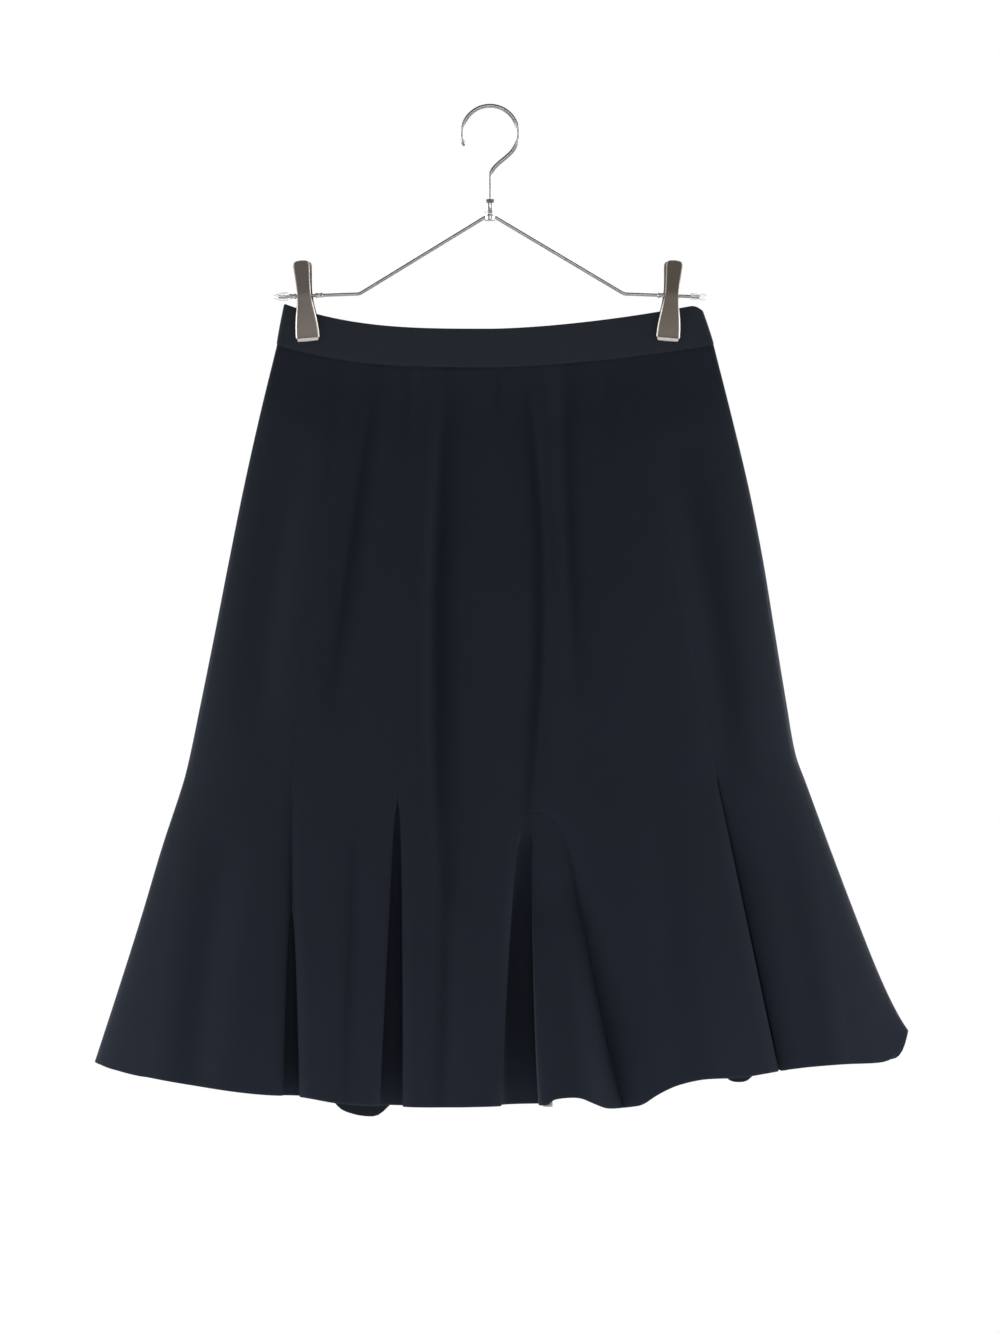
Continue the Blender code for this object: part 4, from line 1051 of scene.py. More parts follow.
# %% Lay the waistband
def lay_band(node, rows):
    shares, points, outward = (np.stack(column) for column in zip(*rows))
    from_seam = (1 - shares) * BAND_TALL / SEAM_DENT_REACH
    proud = BAND_PILLOW * np.sin(math.pi * shares) - WAIST_DENT * np.exp(-(from_seam**2))
    outer = points + outward * (BAND_WALL / 2 + proud[:, None, None] - zip_groove(node, points))
    inner = points - outward * BAND_WALL / 2
    band = shell(node + "_cloth", outer, inner, band_painted_light_suiting, fold_top=True, fold_foot=False)
    return take_place(band, node)


for node, rows in band_rows.items():
    lay_band(node, rows)
print("the waistband has", len(band_rows), "pieces")

# %% [markdown]
# ## What each piece was cut to
# A sheet of cloth has a flat size before it is sewn.  Woven suiting hardly stretches, so the
# widest and the longest line on each piece, to a tenth of a millimetre, and its area are printed
# as its cut, without the seam allowances.


# %% Measure the pieces and say what they were cut to
def measured(rows):
    """The longest row, the longest column and the area of a piece, on its form."""
    points = np.stack([row[1] for row in rows])
    wide = np.linalg.norm(np.diff(points, axis=1), axis=2).sum(axis=1).max()
    long = np.linalg.norm(np.diff(points, axis=0), axis=2).sum(axis=0).max()
    a, b = points[1:, :-1] - points[:-1, 1:], points[1:, 1:] - points[:-1, :-1]
    area = np.linalg.norm(np.cross(a, b), axis=2).sum() / 2
    return round(float(wide), 4), round(float(long), 4), round(float(area), 5)


cloth_area = 0.0
for node, rows in {**skirt_rows, **band_rows}.items():
    wide, long, area = measured(rows)
    cloth_area += area
    print(f"{node:24} {wide:.4f} x {long:.4f} m, {area:.5f} square metres")
print("cloth in all", round(cloth_area, 3), "square metres, without allowances")

# %% [markdown]
# ## Round bars and turned pieces
# Most of what is left is wire, and the rest is turned or pressed.  `bar` sweeps a circle along a
# path and `turned` spins an outline about an axis.  Both only give points and faces, so that
# many small parts, such as stitches, can be joined into one piece.


# %% A round bar
def bar(path, radius, sides=16):
    """A round bar along a path; one radius for all of it, or one for each point."""
    path = [Vector(place) for place in path]
    radii = [radius] * len(path) if isinstance(radius, float) else radius
    last = len(path) - 1
    points, side = [], None
    for i, place in enumerate(path):
        way = (path[min(i + 1, last)] - path[max(i - 1, 0)]).normalized()
        side = (side - way * side.dot(way)).normalized() if side else way.orthogonal().normalized()
        other = way.cross(side)
        for k in range(sides):
            turn = 2 * math.pi * k / sides
            points.append(place + radii[i] * (side * math.cos(turn) + other * math.sin(turn)))
    faces = []
    for i in range(last):
        for k in range(sides):
            a, b = i * sides + k, i * sides + (k + 1) % sides
            faces.append((a, b, b + sides, a + sides))
    faces.append(tuple(reversed(range(sides))))
    faces.append(tuple(range(last * sides, (last + 1) * sides)))
    return points, faces


print("a straight bar has", len(bar([(0, 0, 0), (0, 0, 1)], 0.001)[1]), "faces")


# %% Turned pieces, and joining
def turned(outline, steps=48):
    """A round piece about Z from (radius, height) pairs: a ring, or a solid if it starts at radius 0."""
    points, rings = [], []
    for radius, high in outline:
        start = len(points)
        if radius == 0:
            points.append(Vector((0, 0, high)))
            rings.append([start] * steps)
            continue
        turns = [2 * math.pi * k / steps for k in range(steps)]
        points += [Vector((radius * math.cos(t), radius * math.sin(t), high)) for t in turns]
        rings.append(list(range(start, start + steps)))
    faces = []
    for i in range(len(rings) if outline[0][0] > 0 else len(rings) - 1):
        low, high = rings[i], rings[(i + 1) % len(rings)]
        for k in range(steps):
            j = (k + 1) % steps
            faces.append(tuple(dict.fromkeys((low[k], low[j], high[j], high[k]))))
    return points, faces


def joined(name, parts, material, place=None):
    """One piece from many parts, each given as points and faces."""
    points, faces = [], []
    for part_points, part_faces in parts:
        closed = turned_outward(np.array(part_points), part_faces)
        faces += [tuple(i + len(points) for i in face) for face in closed]
        points += [place @ point for point in part_points] if place else part_points
    mesh = bpy.data.meshes.new(name)
    mesh.from_pydata(points, [], faces)
    mesh.shade_smooth()
    mesh.set_sharp_from_angle(angle=SHARP_OVER)
    return new_object(name, mesh, material)


print("a turned cone has", len(turned(((0, 0), (1, 0), (0, 1)))[1]), "faces")

# %% [markdown]
# ## The hanger
# One length of wire is bent to a peak and two elbows, and runs on level past the clips.  The
# hook is a thicker wire; a pressed collar holds it at the peak.  Short sleeves are crimped on
# the wire so that the clips can't slide off, and clear soft caps cover its two ends.

# %% Bend the wire
WIRE_RADIUS = 0.0013
WIRE_SIDES = 24
WIRE_LEFT, WIRE_RIGHT = -0.1690, 0.1680
ELBOW_LEFT, ELBOW_RIGHT = -0.1044, 0.1072
BAR_DROP = 0.1490
BAR_DROOP = 0.0023
PEAK_DROP = 0.0852
ELBOW_BEND, PEAK_BEND = 0.008, 0.006
BEND_STEPS = 12


def bar_height(x):
    """The wire's height beside the clips; its ends droop a little."""
    elbow, end = (ELBOW_LEFT, WIRE_LEFT) if x < 0 else (ELBOW_RIGHT, WIRE_RIGHT)
    return -BAR_DROP - BAR_DROOP * (x - elbow) / (end - elbow)


def shoulder_path():
    """Straight runs with an arc at each corner."""
    corners = [
        (WIRE_LEFT, bar_height(WIRE_LEFT), 0.0), (ELBOW_LEFT, -BAR_DROP, ELBOW_BEND),
        (0.0, -PEAK_DROP, PEAK_BEND), (ELBOW_RIGHT, -BAR_DROP, ELBOW_BEND),
        (WIRE_RIGHT, bar_height(WIRE_RIGHT), 0.0),
    ]  # fmt: skip
    places = [Vector((x, 0, z)) for x, z, _ in corners]
    path = [places[0]]
    for i in (1, 2, 3):
        into, out_of = (places[i] - places[i - 1]).normalized(), (places[i + 1] - places[i]).normalized()
        cut = corners[i][2] * math.tan(into.angle(out_of) / 2)
        start, end = places[i] - into * cut, places[i] + out_of * cut
        for k in range(BEND_STEPS + 1):
            f = k / BEND_STEPS
            path.append(start * (1 - f) ** 2 + places[i] * 2 * f * (1 - f) + end * f * f)
    return path + [places[4]]


wire_steel = grained("wire_steel", (0.36, 0.36, 0.37), 0.32, 300.0, 0.00001, metallic=1.0)
bent_wire = joined("bent_wire", [bar(shoulder_path(), WIRE_RADIUS, WIRE_SIDES)], wire_steel)
take_place(bent_wire, "hanger_wire")
print("the wire spans", round(WIRE_RIGHT - WIRE_LEFT, 3), "m")

# %% Bend the hook
HOOK_WIRE_RADIUS = 0.0016
HOOK_TIP = 0.7  # the tip is eased to this share of the wire
HOOK_RADIUS = 0.0225
HOOK_FROM, HOOK_TO = -50, 205
HOOK_FOOT = -0.0800
HOOK_STEM_TOP = -0.0560


def hook_path():
    """Up from the collar, out to the right and over the rail to an open left side."""
    middle = Vector((0, 0, HOOK_WIRE_RADIUS - HOOK_RADIUS))
    stem_top = Vector((0, 0, HOOK_STEM_TOP))
    turns = [math.radians(degrees) for degrees in range(HOOK_FROM, HOOK_TO + 1, 5)]
    arc = [middle + HOOK_RADIUS * Vector((math.cos(t), 0, math.sin(t))) for t in turns]
    lean = (arc[1] - arc[0]).normalized()
    pull = (arc[0] - stem_top).length
    path = [Vector((0, 0, HOOK_FOOT)), stem_top]
    for k in range(1, 16):
        f = k / 16
        rise = Vector((0, 0, pull)) * f * (1 - f) ** 2 - lean * pull * f * f * (1 - f)
        path.append(stem_top * (1 + 2 * f) * (1 - f) ** 2 + arc[0] * f * f * (3 - 2 * f) + rise)
    return path + arc


rounded_tip = [HOOK_WIRE_RADIUS] * (len(hook_path()) - 1) + [HOOK_WIRE_RADIUS * HOOK_TIP]
hook = joined("hook", [bar(hook_path(), rounded_tip, WIRE_SIDES)], wire_steel)
take_place(hook, "hanger_hook")
print("the hook bends through", HOOK_TO - HOOK_FROM, "degrees")

# %% Collar and sleeves
COLLAR_FOOT = -0.0905
COLLAR = (
    (0, COLLAR_FOOT), (0.0034, COLLAR_FOOT), (0.0040, COLLAR_FOOT + 0.0003), (0.0042, -0.0896),
    (0.0042, -0.0862), (0.0037, -0.0852), (0.0037, -0.0842), (0.0042, -0.0832), (0.0042, -0.0768),
    (0.0040, -0.0760), (0.0031, -0.0735), (0.0027, -0.0731), (0, -0.0731),
)  # fmt: skip
SLEEVES = table(
    "node                 x        radius  half",
    ("hanger_stop_left", -0.1366, 0.0021, 0.0028),
    ("hanger_stop_right", 0.1368, 0.0021, 0.0026),
    ("hanger_end_stop", -0.1578, 0.0021, 0.0026),
)
BORE = WIRE_RADIUS + 0.0001
SLEEVE_WAIST = 0.80  # how thick a sleeve is where it is pressed in
SLEEVE_EDGE = 0.12  # its eased rim, and the places where it starts to narrow and is narrow
SLEEVE_RIM, SLEEVE_PRESSED = 0.62, 0.34


def along_wire(x):
    """Where a piece turned about Z lies along the wire beside the clips."""
    tilt = math.radians(90) + math.atan(BAR_DROOP / (WIRE_RIGHT - ELBOW_RIGHT))
    return Matrix.Translation((x, 0, bar_height(x))) @ Matrix.Rotation(math.copysign(tilt, x), 4, "Y")


def sleeve(radius, half):
    """A crimped sleeve: full at its rims and pressed in between."""
    waist, edge = radius * SLEEVE_WAIST, half * SLEEVE_EDGE
    rim, narrow = half * SLEEVE_RIM, half * SLEEVE_PRESSED
    return (
        (BORE, -half), (radius - edge, -half), (radius, -half + edge), (radius, -rim), (waist, -narrow),
        (waist, narrow), (radius, rim), (radius, half - edge), (radius - edge, half), (BORE, half),
    )  # fmt: skip


stop_steel = grained("stop_steel", (0.62, 0.62, 0.63), 0.30, 700.0, 0.00004, metallic=1.0)
take_place(joined("collar", [turned(COLLAR)], stop_steel), "hanger_collar")
for part in SLEEVES:
    piece = joined(part["node"] + "_sleeve", [turned(sleeve(part["radius"], part["half"]))], stop_steel,
                   along_wire(part["x"]))  # fmt: skip
    take_place(piece, part["node"])
print("on the wire:", len(SLEEVES), "sleeves")

# %% Caps on the ends
clear_soft = grained(
    "clear_soft_cap", (0.93, 0.94, 0.95), 0.12, 260.0, 0.0001, detail=3.0, IOR=1.35, Transmission_Weight=0.96,
)  # fmt: skip
CAP_LEFT = (
    (0, 0.0001), (BORE, 0.0001), (BORE, -0.0080), (0.0024, -0.0080), (0.0030, -0.0074),
    (0.0034, -0.0058), (0.0032, -0.0030), (0.0025, 0.0004), (0.0016, 0.0032), (0.0008, 0.0048), (0, 0.0052),
)  # fmt: skip
CAP_RIGHT = (
    (0, 0.0001), (BORE, 0.0001), (BORE, -0.0080), (0.0020, -0.0080), (0.0025, -0.0073),
    (0.0026, -0.0055), (0.0024, -0.0030), (0.0018, -0.0012), (0.0018, -0.0004), (0.0025, 0.0008),
    (0.0026, 0.0024), (0.0024, 0.0040), (0.0017, 0.0050), (0, 0.0052),
)  # fmt: skip
for side, x, outline in (("left", WIRE_LEFT, CAP_LEFT), ("right", WIRE_RIGHT, CAP_RIGHT)):
    cap = joined(f"hanger_cap_{side}_soft", [turned(outline)], clear_soft, along_wire(x))
    take_place(cap, f"hanger_cap_{side}")
    print("the", side, "cap ends at", round(x + math.copysign(outline[-1][1], x), 4))

# %% [markdown]
# ## The clips
# Each clip is two pressed plates.  A plate is narrow where the fingers squeeze it and widens to
# the jaw, its long edges are turned back for stiffness, and the end of the jaw is a small lip
# that is folded inward.  A coil spring round the wire holds the jaws shut.  The turned edges
# below the wire and the lip are painted pale, a painted highlight for the side light that they
# catch: a `rim` value stored on the mesh tells the material where.

# %% The form of a plate
PLATE = table(
    "down      half    away    flange",
    (-0.0276, 0.0040, 0.0113, 0.0004),
    (-0.0270, 0.0055, 0.0112, 0.0009),
    (-0.0258, 0.0063, 0.0109, 0.0014),
    (-0.0240, 0.0066, 0.0105, 0.0016),
    (-0.0128, 0.0059, 0.0082, 0.0018),
    (-0.0030, 0.0056, 0.0061, 0.0018),
    (0.0060, 0.0064, 0.0054, 0.0016),
    (0.0120, 0.0074, 0.0050, 0.0013),
    (0.0180, 0.0083, 0.0047, 0.0010),
    (0.0260, 0.0091, 0.0044, 0.0008),
    (0.0326, 0.0094, 0.0043, 0.0008),
    (0.0338, 0.0092, 0.0042, 0.0008),
)
LIP = ((0.0339, 0.0084), (0.0346, 0.0084), (0.0358, 0.0083), (0.0360, 0.0081))
LIP_AWAY = 0.0036
HALF_ACROSS = (0.3, 0.6, 0.82, 0.86, 0.90, 0.95, 0.985, 1.0)
PLATE_ACROSS = [*(-across for across in reversed(HALF_ACROSS)), 0.0, *HALF_ACROSS]
PLATE_ROWS = 46
PLATE_EVEN = 0.5  # the rows crowd half way towards both ends
PLATE_WALL = 0.0011
FLANGE_FROM = 0.84
FLANGE_CURVE = 1.6


def plate_points(face):
    """A plate's middle surface, about the wire: rows down it and columns across."""
    first, last = PLATE[0]["down"], PLATE[-1]["down"]
    rows = []
    for k in range(PLATE_ROWS + 1):
        f = k / PLATE_ROWS
        down = mix(first, last, mix(f, (1 - math.cos(math.pi * f)) / 2, PLATE_EVEN))
        half, away, flange = (read(PLATE, column, "down", down) for column in ("half", "away", "flange"))
        row = []
        for across in PLATE_ACROSS:
            turned_back = max(0.0, (abs(across) - FLANGE_FROM) / (1 - FLANGE_FROM))
            row.append((-face * across * half, face * (away - flange * turned_back**FLANGE_CURVE), -down))
        rows.append(row)
    for down, half in LIP:
        rows.append([(-face * across * half, face * LIP_AWAY, -down) for across in PLATE_ACROSS])
    return np.array(rows)


print("a plate is", round(2 * PLATE[-1]["half"] * 1000, 1), "mm wide at its jaw")

# %% Press a plate
RIM_FADE = 0.06  # how sharply the painted highlight on the edge ends, as a share of the half width
RIM_DARK = 0.10  # how strong the painted highlight on the edge is above the wire
RIM_FROM, RIM_DOWN = 0.002, 0.012  # where the painted highlight starts to grow, and over what height


def painted_highlight_share(point):
    """1 where the plate gets its painted highlight: the turned edges below the wire, and the lip."""
    down = -point.z
    if down > PLATE[-1]["down"]:
        return 1.0
    half = read(PLATE, "half", "down", down)
    edge = ease((abs(point.x) / half - FLANGE_FROM) / RIM_FADE)
    return edge * mix(RIM_DARK, 1.0, ease((down - RIM_FROM) / RIM_DOWN))


def clip_plate(name, face, lean, x, slide, material):
    points = plate_points(face)
    outward = np.array((0.0, face * PLATE_WALL / 2, 0.0))
    made = shell(name, points + outward, points - outward, material, fold_top=True)
    # the share of painted highlight at each point of the plate
    rim = made.data.attributes.new("rim", "FLOAT", "POINT")
    for vertex in made.data.vertices:
        rim.data[vertex.index].value = painted_highlight_share(vertex.co)
    leaned = Matrix.Rotation(math.copysign(lean, x), 4, "Y")
    made.data.transform(Matrix.Translation((x - slide, 0, bar_height(x))) @ leaned)
    return made


print("the lip of a jaw is worn to", painted_highlight_share(Vector((0, 0, -0.035))))


# %% Plating
def plating(name, face_colour, highlight_colour):
    """Dark, brushed plating, with a pale painted highlight on its edges."""
    made = new_material(name, face_colour, 0.42, metallic=0.85)
    # the rim value mixes in the pale colour: a painted highlight on the turned edges and the lip
    highlit = add(made, "Attribute", {}, attribute_name="rim").outputs["Fac"]
    wire_up(made, "Base Color", mixed(made, highlit, face_colour, highlight_colour))
    brushed = add(made, "Mapping", {"Vector": cloth_metres(made), "Scale": (3000.0, 120.0, 1.0)}).outputs[0]
    marks = add(made, "TexNoise", {"Vector": brushed, "Scale": 1.0, "Detail": 3.0}).outputs["Fac"]
    rough = add(made, "MapRange", {"Value": marks, "To Min": 0.34, "To Max": 0.52}).outputs[0]
    wire_up(made, "Roughness", rough)
    bumped(made, marks, 0.00003)
    return made


# each plating: its dark colour, then the pale colour of its painted highlight
CLIP_PLATINGS = {
    "left": plating("plating_left", (0.17, 0.145, 0.130), (0.52, 0.50, 0.46)),
    "right": plating("plating_right", (0.140, 0.118, 0.098), (0.50, 0.48, 0.44)),
}
print("platings for the clips on the", " and the ".join(CLIP_PLATINGS))

# %% Wind the springs and hang both clips
CLIP_AT = {"left": -0.1486, "right": 0.1453}
LEAN_FRONT, LEAN_BACK = math.radians(5), math.radians(4)
BACK_SHIFT = 0.0010  # a back plate sits this much nearer to the middle
SPRING_WIRE = 0.00045
SPRING_RADIUS = 0.0037
SPRING_HALF = 0.0036
SPRING_TURNS = 6.5
SPRING_STEPS = 20  # in each turn
SPRING_LEG_TOP = 0.0185
SPRING_LEG_OUT = 0.0082


def spring_path():
    """Up the front plate's back, round the wire, and up the back plate's front."""
    path = [Vector((-SPRING_HALF, -mix(SPRING_RADIUS, SPRING_LEG_OUT, f), SPRING_LEG_TOP * f)) for f in
            (1.0, 0.66, 0.33, 0.08)]  # fmt: skip
    steps = round(SPRING_TURNS * SPRING_STEPS)
    for k in range(steps + 1):
        f = k / steps
        turn = math.pi + 2 * math.pi * SPRING_TURNS * f
        y, z = SPRING_RADIUS * math.cos(turn), SPRING_RADIUS * math.sin(turn)
        path.append(Vector((mix(-SPRING_HALF, SPRING_HALF, f), y, z)))
    return path + [Vector((-p.x, -p.y, p.z)) for p in reversed(path[:4])]


spring_steel = grained("spring_steel", (0.30, 0.29, 0.28), 0.35, 800.0, 0.00002, metallic=1.0)
for side, x in CLIP_AT.items():
    slide = math.copysign(BACK_SHIFT, x)
    for part, face, lean, moved in (("front", -1, LEAN_FRONT, 0.0), ("back", 1, LEAN_BACK, slide)):
        plate = clip_plate(f"clip_{side}_{part}_plate", face, lean, x, moved, CLIP_PLATINGS[side])
        take_place(plate, f"clip_{side}_{part}")
    round_wire = Matrix.Translation((x, 0, bar_height(x)))
    spring = joined(f"clip_{side}_coil", [bar(spring_path(), SPRING_WIRE, 10)], spring_steel, round_wire)
    take_place(spring, f"clip_{side}_spring")
print("each spring has", SPRING_TURNS, "turns")

# %% [markdown]
# ## The zip
# The centre back seam opens with a zip that runs up through the band.  Its two tapes are woven
# of fine polyester and lie behind the cloth.  The teeth are one coil of nylon wire sewn along
# each tape.  Here they are closed, so one coil stands for both.  The stitching that holds the
# tapes shows outside as two rows of small stitches, each dipping into the cloth at its ends.

# %% Find places on the finished cloth
BACK_RIGHT = ("band_back_right", "gore_back_right")  # the pieces on each side of the centre back
BACK_LEFT = ("band_back_left", "gore_back_left")
BAND_TALL_MIDDLE = WAIST_DROP + WAIST_DIP - BAND_TOP_DROP - BAND_TOP_DIP
CENTRE_LONG = read(HEM_BACK, "drop", "across", 0.0) - WAIST_DROP - WAIST_DIP


def on_cloth(rows, at, from_edge, last_edge):
    """The point and outward way at a height of a piece, a distance in from one of its side edges."""
    downs = [row[0] for row in rows]
    i = min(max(int(np.searchsorted(downs, at)) - 1, 0), len(rows) - 2)
    f = (at - downs[i]) / (downs[i + 1] - downs[i])
    places, ways = (mix(rows[i][part], rows[i + 1][part], f) for part in (1, 2))
    if last_edge:
        places, ways = places[::-1], ways[::-1]
    along = np.pad(np.linalg.norm(np.diff(places, axis=0), axis=1).cumsum(), (1, 0))
    place = Vector([np.interp(from_edge, along, places[:, axis]) for axis in range(3)])
    way = Vector([np.interp(from_edge, along, ways[:, axis]) for axis in range(3)]).normalized()
    return place, way


def beside_zip(side, from_edge, first, last, count):
    """(place, outward) down one side of the centre back, from the band's top into the gore."""
    band, gore = BACK_RIGHT if side > 0 else BACK_LEFT
    found = []
    for k in range(count + 1):
        run = mix(first, last, k / count)  # metres from the band's top edge
        if run < BAND_TALL_MIDDLE:
            rows, at, wall = band_rows[band], run / BAND_TALL_MIDDLE, BAND_WALL
        else:
            rows, at, wall = skirt_rows[gore], (run - BAND_TALL_MIDDLE) / CENTRE_LONG, WALL
        found.append((*on_cloth(rows, max(at, 0.0), from_edge, side > 0), wall))
    return found


print("the band is", round(BAND_TALL_MIDDLE, 4), "m tall at the centre back, the seam", round(CENTRE_LONG, 3))

# %% Lay the tapes
TAPE_WALL = 0.0008
TAPE_FROM, TAPE_TO = 0.003, 0.211
TAPE_STEPS = 90
TAPE_ACROSS = (0.0003, 0.0030, 0.0060, 0.0085, 0.011)
CLEAR = 0.0003

dark_tape = tape_weave(
    "zip_tape_weave", (0.007, 0.009, 0.014), (0.014, 0.017, 0.026), 0.7, 0.0008, 0.00006,
    Specular_IOR_Level=0.3,
)  # fmt: skip
for side, label in ((1, "right"), (-1, "left")):
    columns = []
    for from_edge in TAPE_ACROSS if side < 0 else reversed(TAPE_ACROSS):
        column = beside_zip(side, from_edge, TAPE_FROM, TAPE_TO, TAPE_STEPS)
        columns.append([place - way * (BAND_WALL / 2 + CLEAR + TAPE_WALL / 2) for place, way, _ in column])
    middle = np.array(columns).transpose(1, 0, 2)
    back = np.array((0.0, TAPE_WALL / 2, 0.0))
    tape = shell(f"zip_tape_{label}_woven", middle + back, middle - back, dark_tape)
    take_place(tape, f"zip_tape_{label}")
print("each tape is", round(TAPE_TO - TAPE_FROM, 3), "m long")

# %% Wind the teeth
COIL_FROM, COIL_TO = TAPE_FROM + 0.004, TAPE_TO - 0.006
COIL_PITCH = 0.0012
COIL_RADIUS = 0.0007
COIL_WIRE = 0.00028
COIL_STEPS = 8  # in each turn
COIL_BROAD = 1.4  # the coil is flattened: this much wider than it is deep
coil_behind = BAND_WALL / 2 + CLEAR + TAPE_WALL + COIL_RADIUS + COIL_WIRE
coil_line = [place - way * coil_behind for place, way, _ in
             beside_zip(1, 0.0, COIL_FROM, COIL_TO, TAPE_STEPS)]  # fmt: skip


def coil_path():
    steps = round((COIL_TO - COIL_FROM) / COIL_PITCH) * COIL_STEPS
    path = []
    for k in range(steps + 1):
        at = k / steps * TAPE_STEPS
        i = min(int(at), TAPE_STEPS - 1)
        turn = 2 * math.pi * k / COIL_STEPS
        round_off = Vector((COIL_BROAD * COIL_RADIUS * math.cos(turn), COIL_RADIUS * math.sin(turn), 0))
        path.append(coil_line[i].lerp(coil_line[i + 1], at - i) + round_off)
    return path


nylon = grained("nylon_teeth", (0.012, 0.014, 0.020), 0.35, 1500.0, 0.00001)
take_place(joined("zip_teeth", [bar(coil_path(), COIL_WIRE, 5)], nylon), None)
print("a tooth every", COIL_PITCH * 1000, "mm")

# %% Topstitching beside the zip
STITCH = 0.0024
STITCH_EVERY = 0.0030
STITCH_RADIUS = 0.00016
STITCH_PROUD = 0.4  # how far a stitch's middle stands out of the cloth, in thread radii
STITCH_IN = 0.0065  # from the seam
STITCH_FROM, STITCH_TO = 0.0020, TAPE_TO - 0.004
STITCH_SKIP = 0.003  # none cross the waist seam
STITCH_SHAPE = ((0.0, -1.0), (0.12, 0.5), (0.35, 0.9), (0.65, 0.9), (0.88, 0.5), (1.0, -1.0))


def stitch(start, end, way):
    """A raised thread that dips into the cloth at both ends."""
    path = [start.lerp(end, f) + way * STITCH_RADIUS * lift for f, lift in STITCH_SHAPE]
    return bar(path, STITCH_RADIUS, 6)


thread = new_material("navy_thread", (0.013, 0.016, 0.024), 0.55, Specular_IOR_Level=0.4)
ply = add(thread, "TexWave", {"Scale": 900.0}, bands_direction="DIAGONAL").outputs["Fac"]
bumped(thread, ply, 0.00004)
for side, label in ((1, "right"), (-1, "left")):
    count = round((STITCH_TO - STITCH_FROM) / STITCH_EVERY)
    line = beside_zip(side, STITCH_IN, STITCH_FROM, STITCH_TO, count)
    stitches = []
    for (place, way, wall), (after, _, _) in zip(line, line[1:]):
        lifted = way * (wall / 2 + STITCH_RADIUS * STITCH_PROUD)
        if abs(place.z + WAIST_DROP + WAIST_DIP) > STITCH_SKIP:
            stitches.append(stitch(place + lifted, place.lerp(after, STITCH / STITCH_EVERY) + lifted, way))
    take_place(joined(f"zip_topstitch_{label}", stitches, thread), None)
print(len(stitches), "stitches on each side")

# %% [markdown]
# ## The slider and its pull
# The slider closes the coil as it runs up.  It is a small shield of zinc with dark enamel, and
# a bail on its face holds the pull.  The pull swings about the bail, so it is the one piece
# that rides on a body of its own.

# %% Press the slider
SLIDER_WIDE = 0.0044
SLIDER_TALL = 0.0075
SLIDER_THICK = 0.0012
SLIDER_EASE = 0.0002  # how far its edges are eased


def pressed(outline, low, high, edge):
    """A flat piece from an outline of (x, z): between two y, with its edges eased."""
    points = []
    for y, shrink in ((low, edge), (low + edge, 0.0), (high - edge, 0.0), (high, edge)):
        for x, z in outline:
            inward = Vector((x, z)).normalized() * shrink
            points.append(Vector((x - inward.x, y, z - inward.y)))
    count = len(outline)
    faces = [tuple(range(count)), tuple(reversed(range(3 * count, 4 * count)))]
    for ring in range(3):
        for k in range(count):
            a, b = ring * count + k, ring * count + (k + 1) % count
            faces.append((a, a + count, b + count, b))
    return points, faces


def slider_outline():
    """Rounded shoulders, and a foot where the coil comes out closed."""
    half, tall = SLIDER_WIDE / 2, SLIDER_TALL / 2
    right = []
    for degrees in range(0, 91, 15):
        turn = math.radians(degrees)
        right.append((half * 0.45 + half * 0.55 * math.sin(turn), tall - 0.0012 * (1 - math.cos(turn))))
    right += [(half, 0.0006), (half * 0.80, -0.0014), (half * 0.74, -tall + 0.0008), (half * 0.5, -tall)]
    return right + [(-x, z) for x, z in reversed(right)]


print("the slider's outline has", len(slider_outline()), "points")

# %% Fit the slider and its pull
SLIDER_BELOW_EDGE = 0.0055
BAIL_RADIUS = 0.0005
BAIL_HALF = 0.0026
BAIL_ROOM = 0.0017
BAIL_CORNER = 0.0007

enamel = grained(
    "dark_enamel", (0.016, 0.018, 0.026), 0.30, 1400.0, 0.00002, metallic=0.2, Coat_Weight=0.5,
)  # fmt: skip
skin = band_depth(0.0, 1) + BAND_WALL / 2 + CLEAR
slider_middle = -BAND_TOP_DROP - BAND_TOP_DIP - SLIDER_BELOW_EDGE
out = skin + SLIDER_THICK + BAIL_ROOM + BAIL_RADIUS
bail = [(skin + SLIDER_THICK / 2, BAIL_HALF), (out - BAIL_CORNER, BAIL_HALF)]
bail += [(out - BAIL_CORNER * (1 - math.sin(t)), BAIL_HALF - BAIL_CORNER * (1 - math.cos(t)))
         for t in (0.4, 0.8, 1.2, math.pi / 2)]  # fmt: skip
bail += [(y, -z) for y, z in reversed(bail)]
parts = [
    pressed(slider_outline(), skin, skin + SLIDER_THICK, SLIDER_EASE),
    bar([Vector((0, y, z)) for y, z in bail], BAIL_RADIUS, 12),
]
slider = joined("slider_with_bail", parts, enamel, Matrix.Translation((0, 0, slider_middle)))
take_place(slider, "zip_slider")

pull = bpy.data.objects["zip_pull"]
pull.data.materials.clear()
pull.data.materials.append(enamel)
eased = pull.modifiers.new("eased_edges", "BEVEL")
eased.width = 0.00015
eased.segments = 3
eased.limit_method = "ANGLE"
eased.angle_limit = math.radians(40)
print("slider", SLIDER_TALL * 1000, "mm tall; the pull keeps its CAD form with eased edges")

# %% [markdown]
# ## A plain studio
# The skirt hangs in a white tent.  A soft light in front shows the cloth, two wide ones at the
# sides graze it so that its edges and folds show, two behind light the back, and a low strip of
# light shines up under the hem into the godets.  The floor is a pale disc well below the hem.

# %% Floor
FLOOR_DROP = 1.10
FLOOR_REACH = 1.7


def floor():
    mesh = bpy.data.meshes.new("floor")
    shape = bmesh.new()
    bmesh.ops.create_circle(shape, cap_ends=True, segments=96, radius=FLOOR_REACH)
    shape.to_mesh(mesh)
    shape.free()
    made = new_object("floor", mesh, new_material("pale_floor", (0.80, 0.80, 0.80), 0.9))
    made.location.z = -FLOOR_DROP


floor()
print("the floor lies", FLOOR_DROP, "m below the rail")


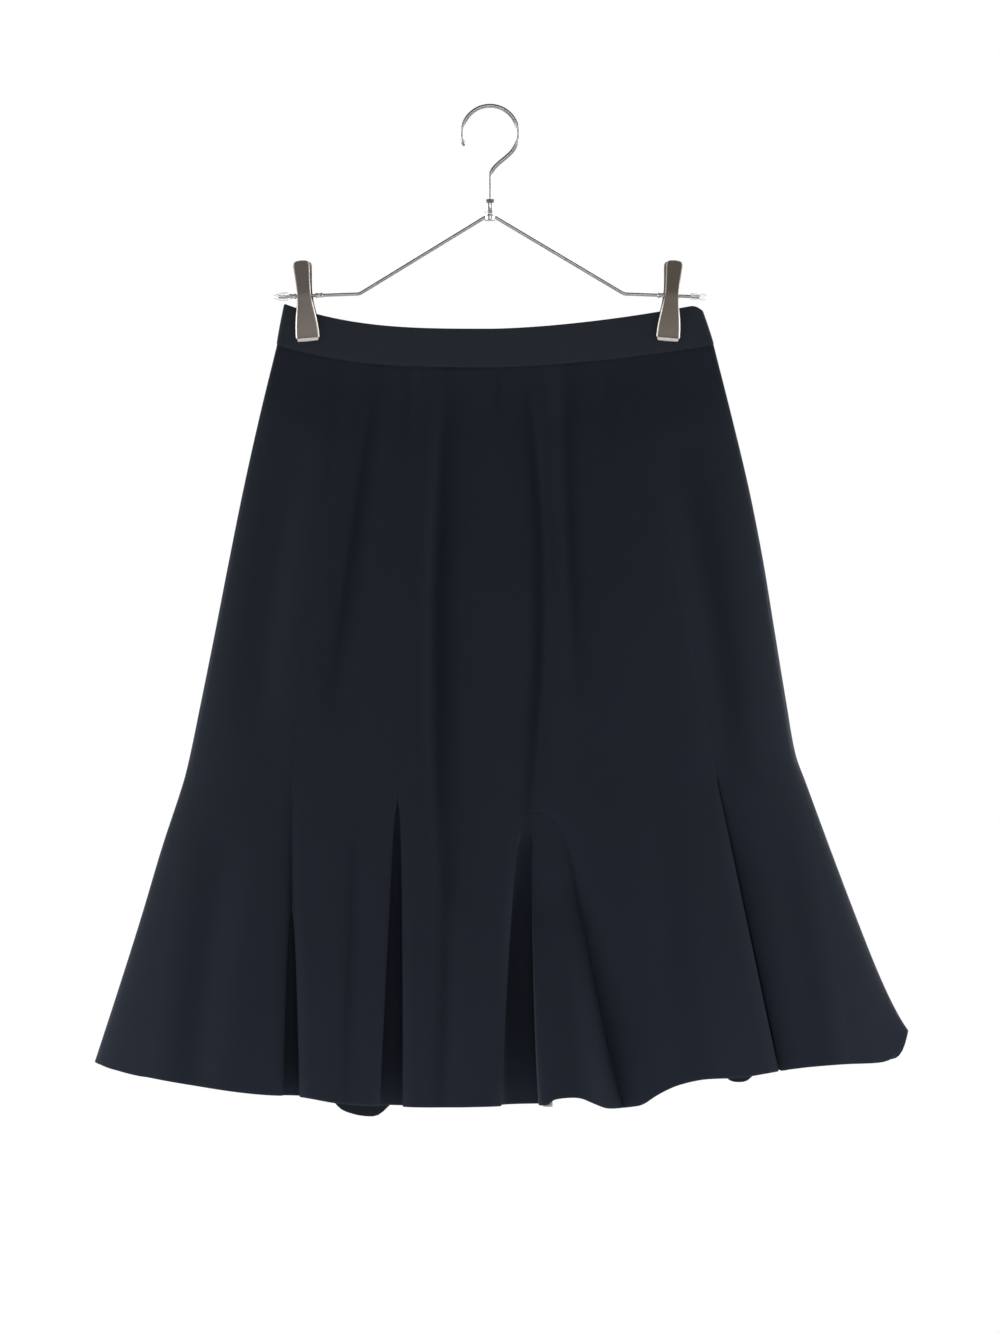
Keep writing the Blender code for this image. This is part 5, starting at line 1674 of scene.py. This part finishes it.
# %% Lights
def soft_light(name, place, size, watts, target):
    """A soft light of a width and a height, turned to a target."""
    light = bpy.data.lights.new(name, "AREA")
    light.shape = "RECTANGLE"
    light.size, light.size_y = size
    light.energy = watts
    made = bpy.data.objects.new(name, light)
    bpy.context.scene.collection.objects.link(made)
    made.location = place
    made.rotation_euler = (Vector(target) - Vector(place)).to_track_quat("-Z", "Y").to_euler()


MIDDLE = (0.0, 0.0, -0.45)
for name, place, size, watts, target in (
    ("front", (0.3, -4.0, 0.5), (1.5, 1.5), 34, MIDDLE),
    ("left", (-2.6, -0.35, -0.1), (2.6, 1.6), 64, MIDDLE),
    ("right", (2.6, -0.35, -0.1), (2.6, 1.6), 64, MIDDLE),
    ("back_left", (-1.8, 2.0, 0.3), (1.2, 1.2), 20, MIDDLE),
    ("back_right", (1.8, 2.0, 0.1), (1.2, 1.2), 40, MIDDLE),
    ("from_floor", (0.0, -0.16, -0.99), (1.3, 0.06), 1.6, (0.0, -0.16, 0.0)),
):
    soft_light(name, place, size, watts, target)
    print(name, watts, "watts")

# %% The white tent
TENT_LIGHT = 0.15  # the tent looks white, but gives only this share of light

world = bpy.data.worlds.new("white_tent")
world.use_nodes = True
tent = world.node_tree.nodes["Background"]
tent.inputs["Color"].default_value = (1.0, 1.0, 1.0, 1.0)
ray = add(world, "LightPath", {}).outputs
seen_or_through = {0: ray["Is Camera Ray"], 1: ray["Is Transmission Ray"]}
seen = add(world, "Math", seen_or_through, operation="MAXIMUM").outputs[0]
strength = add(world, "MapRange", {"Value": seen, "To Min": TENT_LIGHT}).outputs[0]
world.node_tree.links.new(strength, tent.inputs["Strength"])
bpy.context.scene.world = world
bpy.context.scene.view_settings.view_transform = "Standard"
print("the tent gives", TENT_LIGHT, "of a full white's light")

# %% Camera
CAMERA_AWAY = 8.0
CAMERA_X, CAMERA_Z = 0.008, -0.447
VIEW_HALF_TALL = 0.5332  # half of what the picture is tall, at the skirt
SENSOR = 36.0
camera = bpy.data.objects.new("camera", bpy.data.cameras.new("camera"))
bpy.context.scene.collection.objects.link(camera)
camera.location = (CAMERA_X, -CAMERA_AWAY, CAMERA_Z)
camera.rotation_euler = (math.radians(90), 0.0, 0.0)
camera.data.sensor_fit = "VERTICAL"
camera.data.sensor_height = SENSOR
camera.data.lens = SENSOR / 2 * CAMERA_AWAY / VIEW_HALF_TALL
bpy.context.scene.camera = camera
print("camera", CAMERA_AWAY, "m away with a lens of", round(camera.data.lens), "mm")
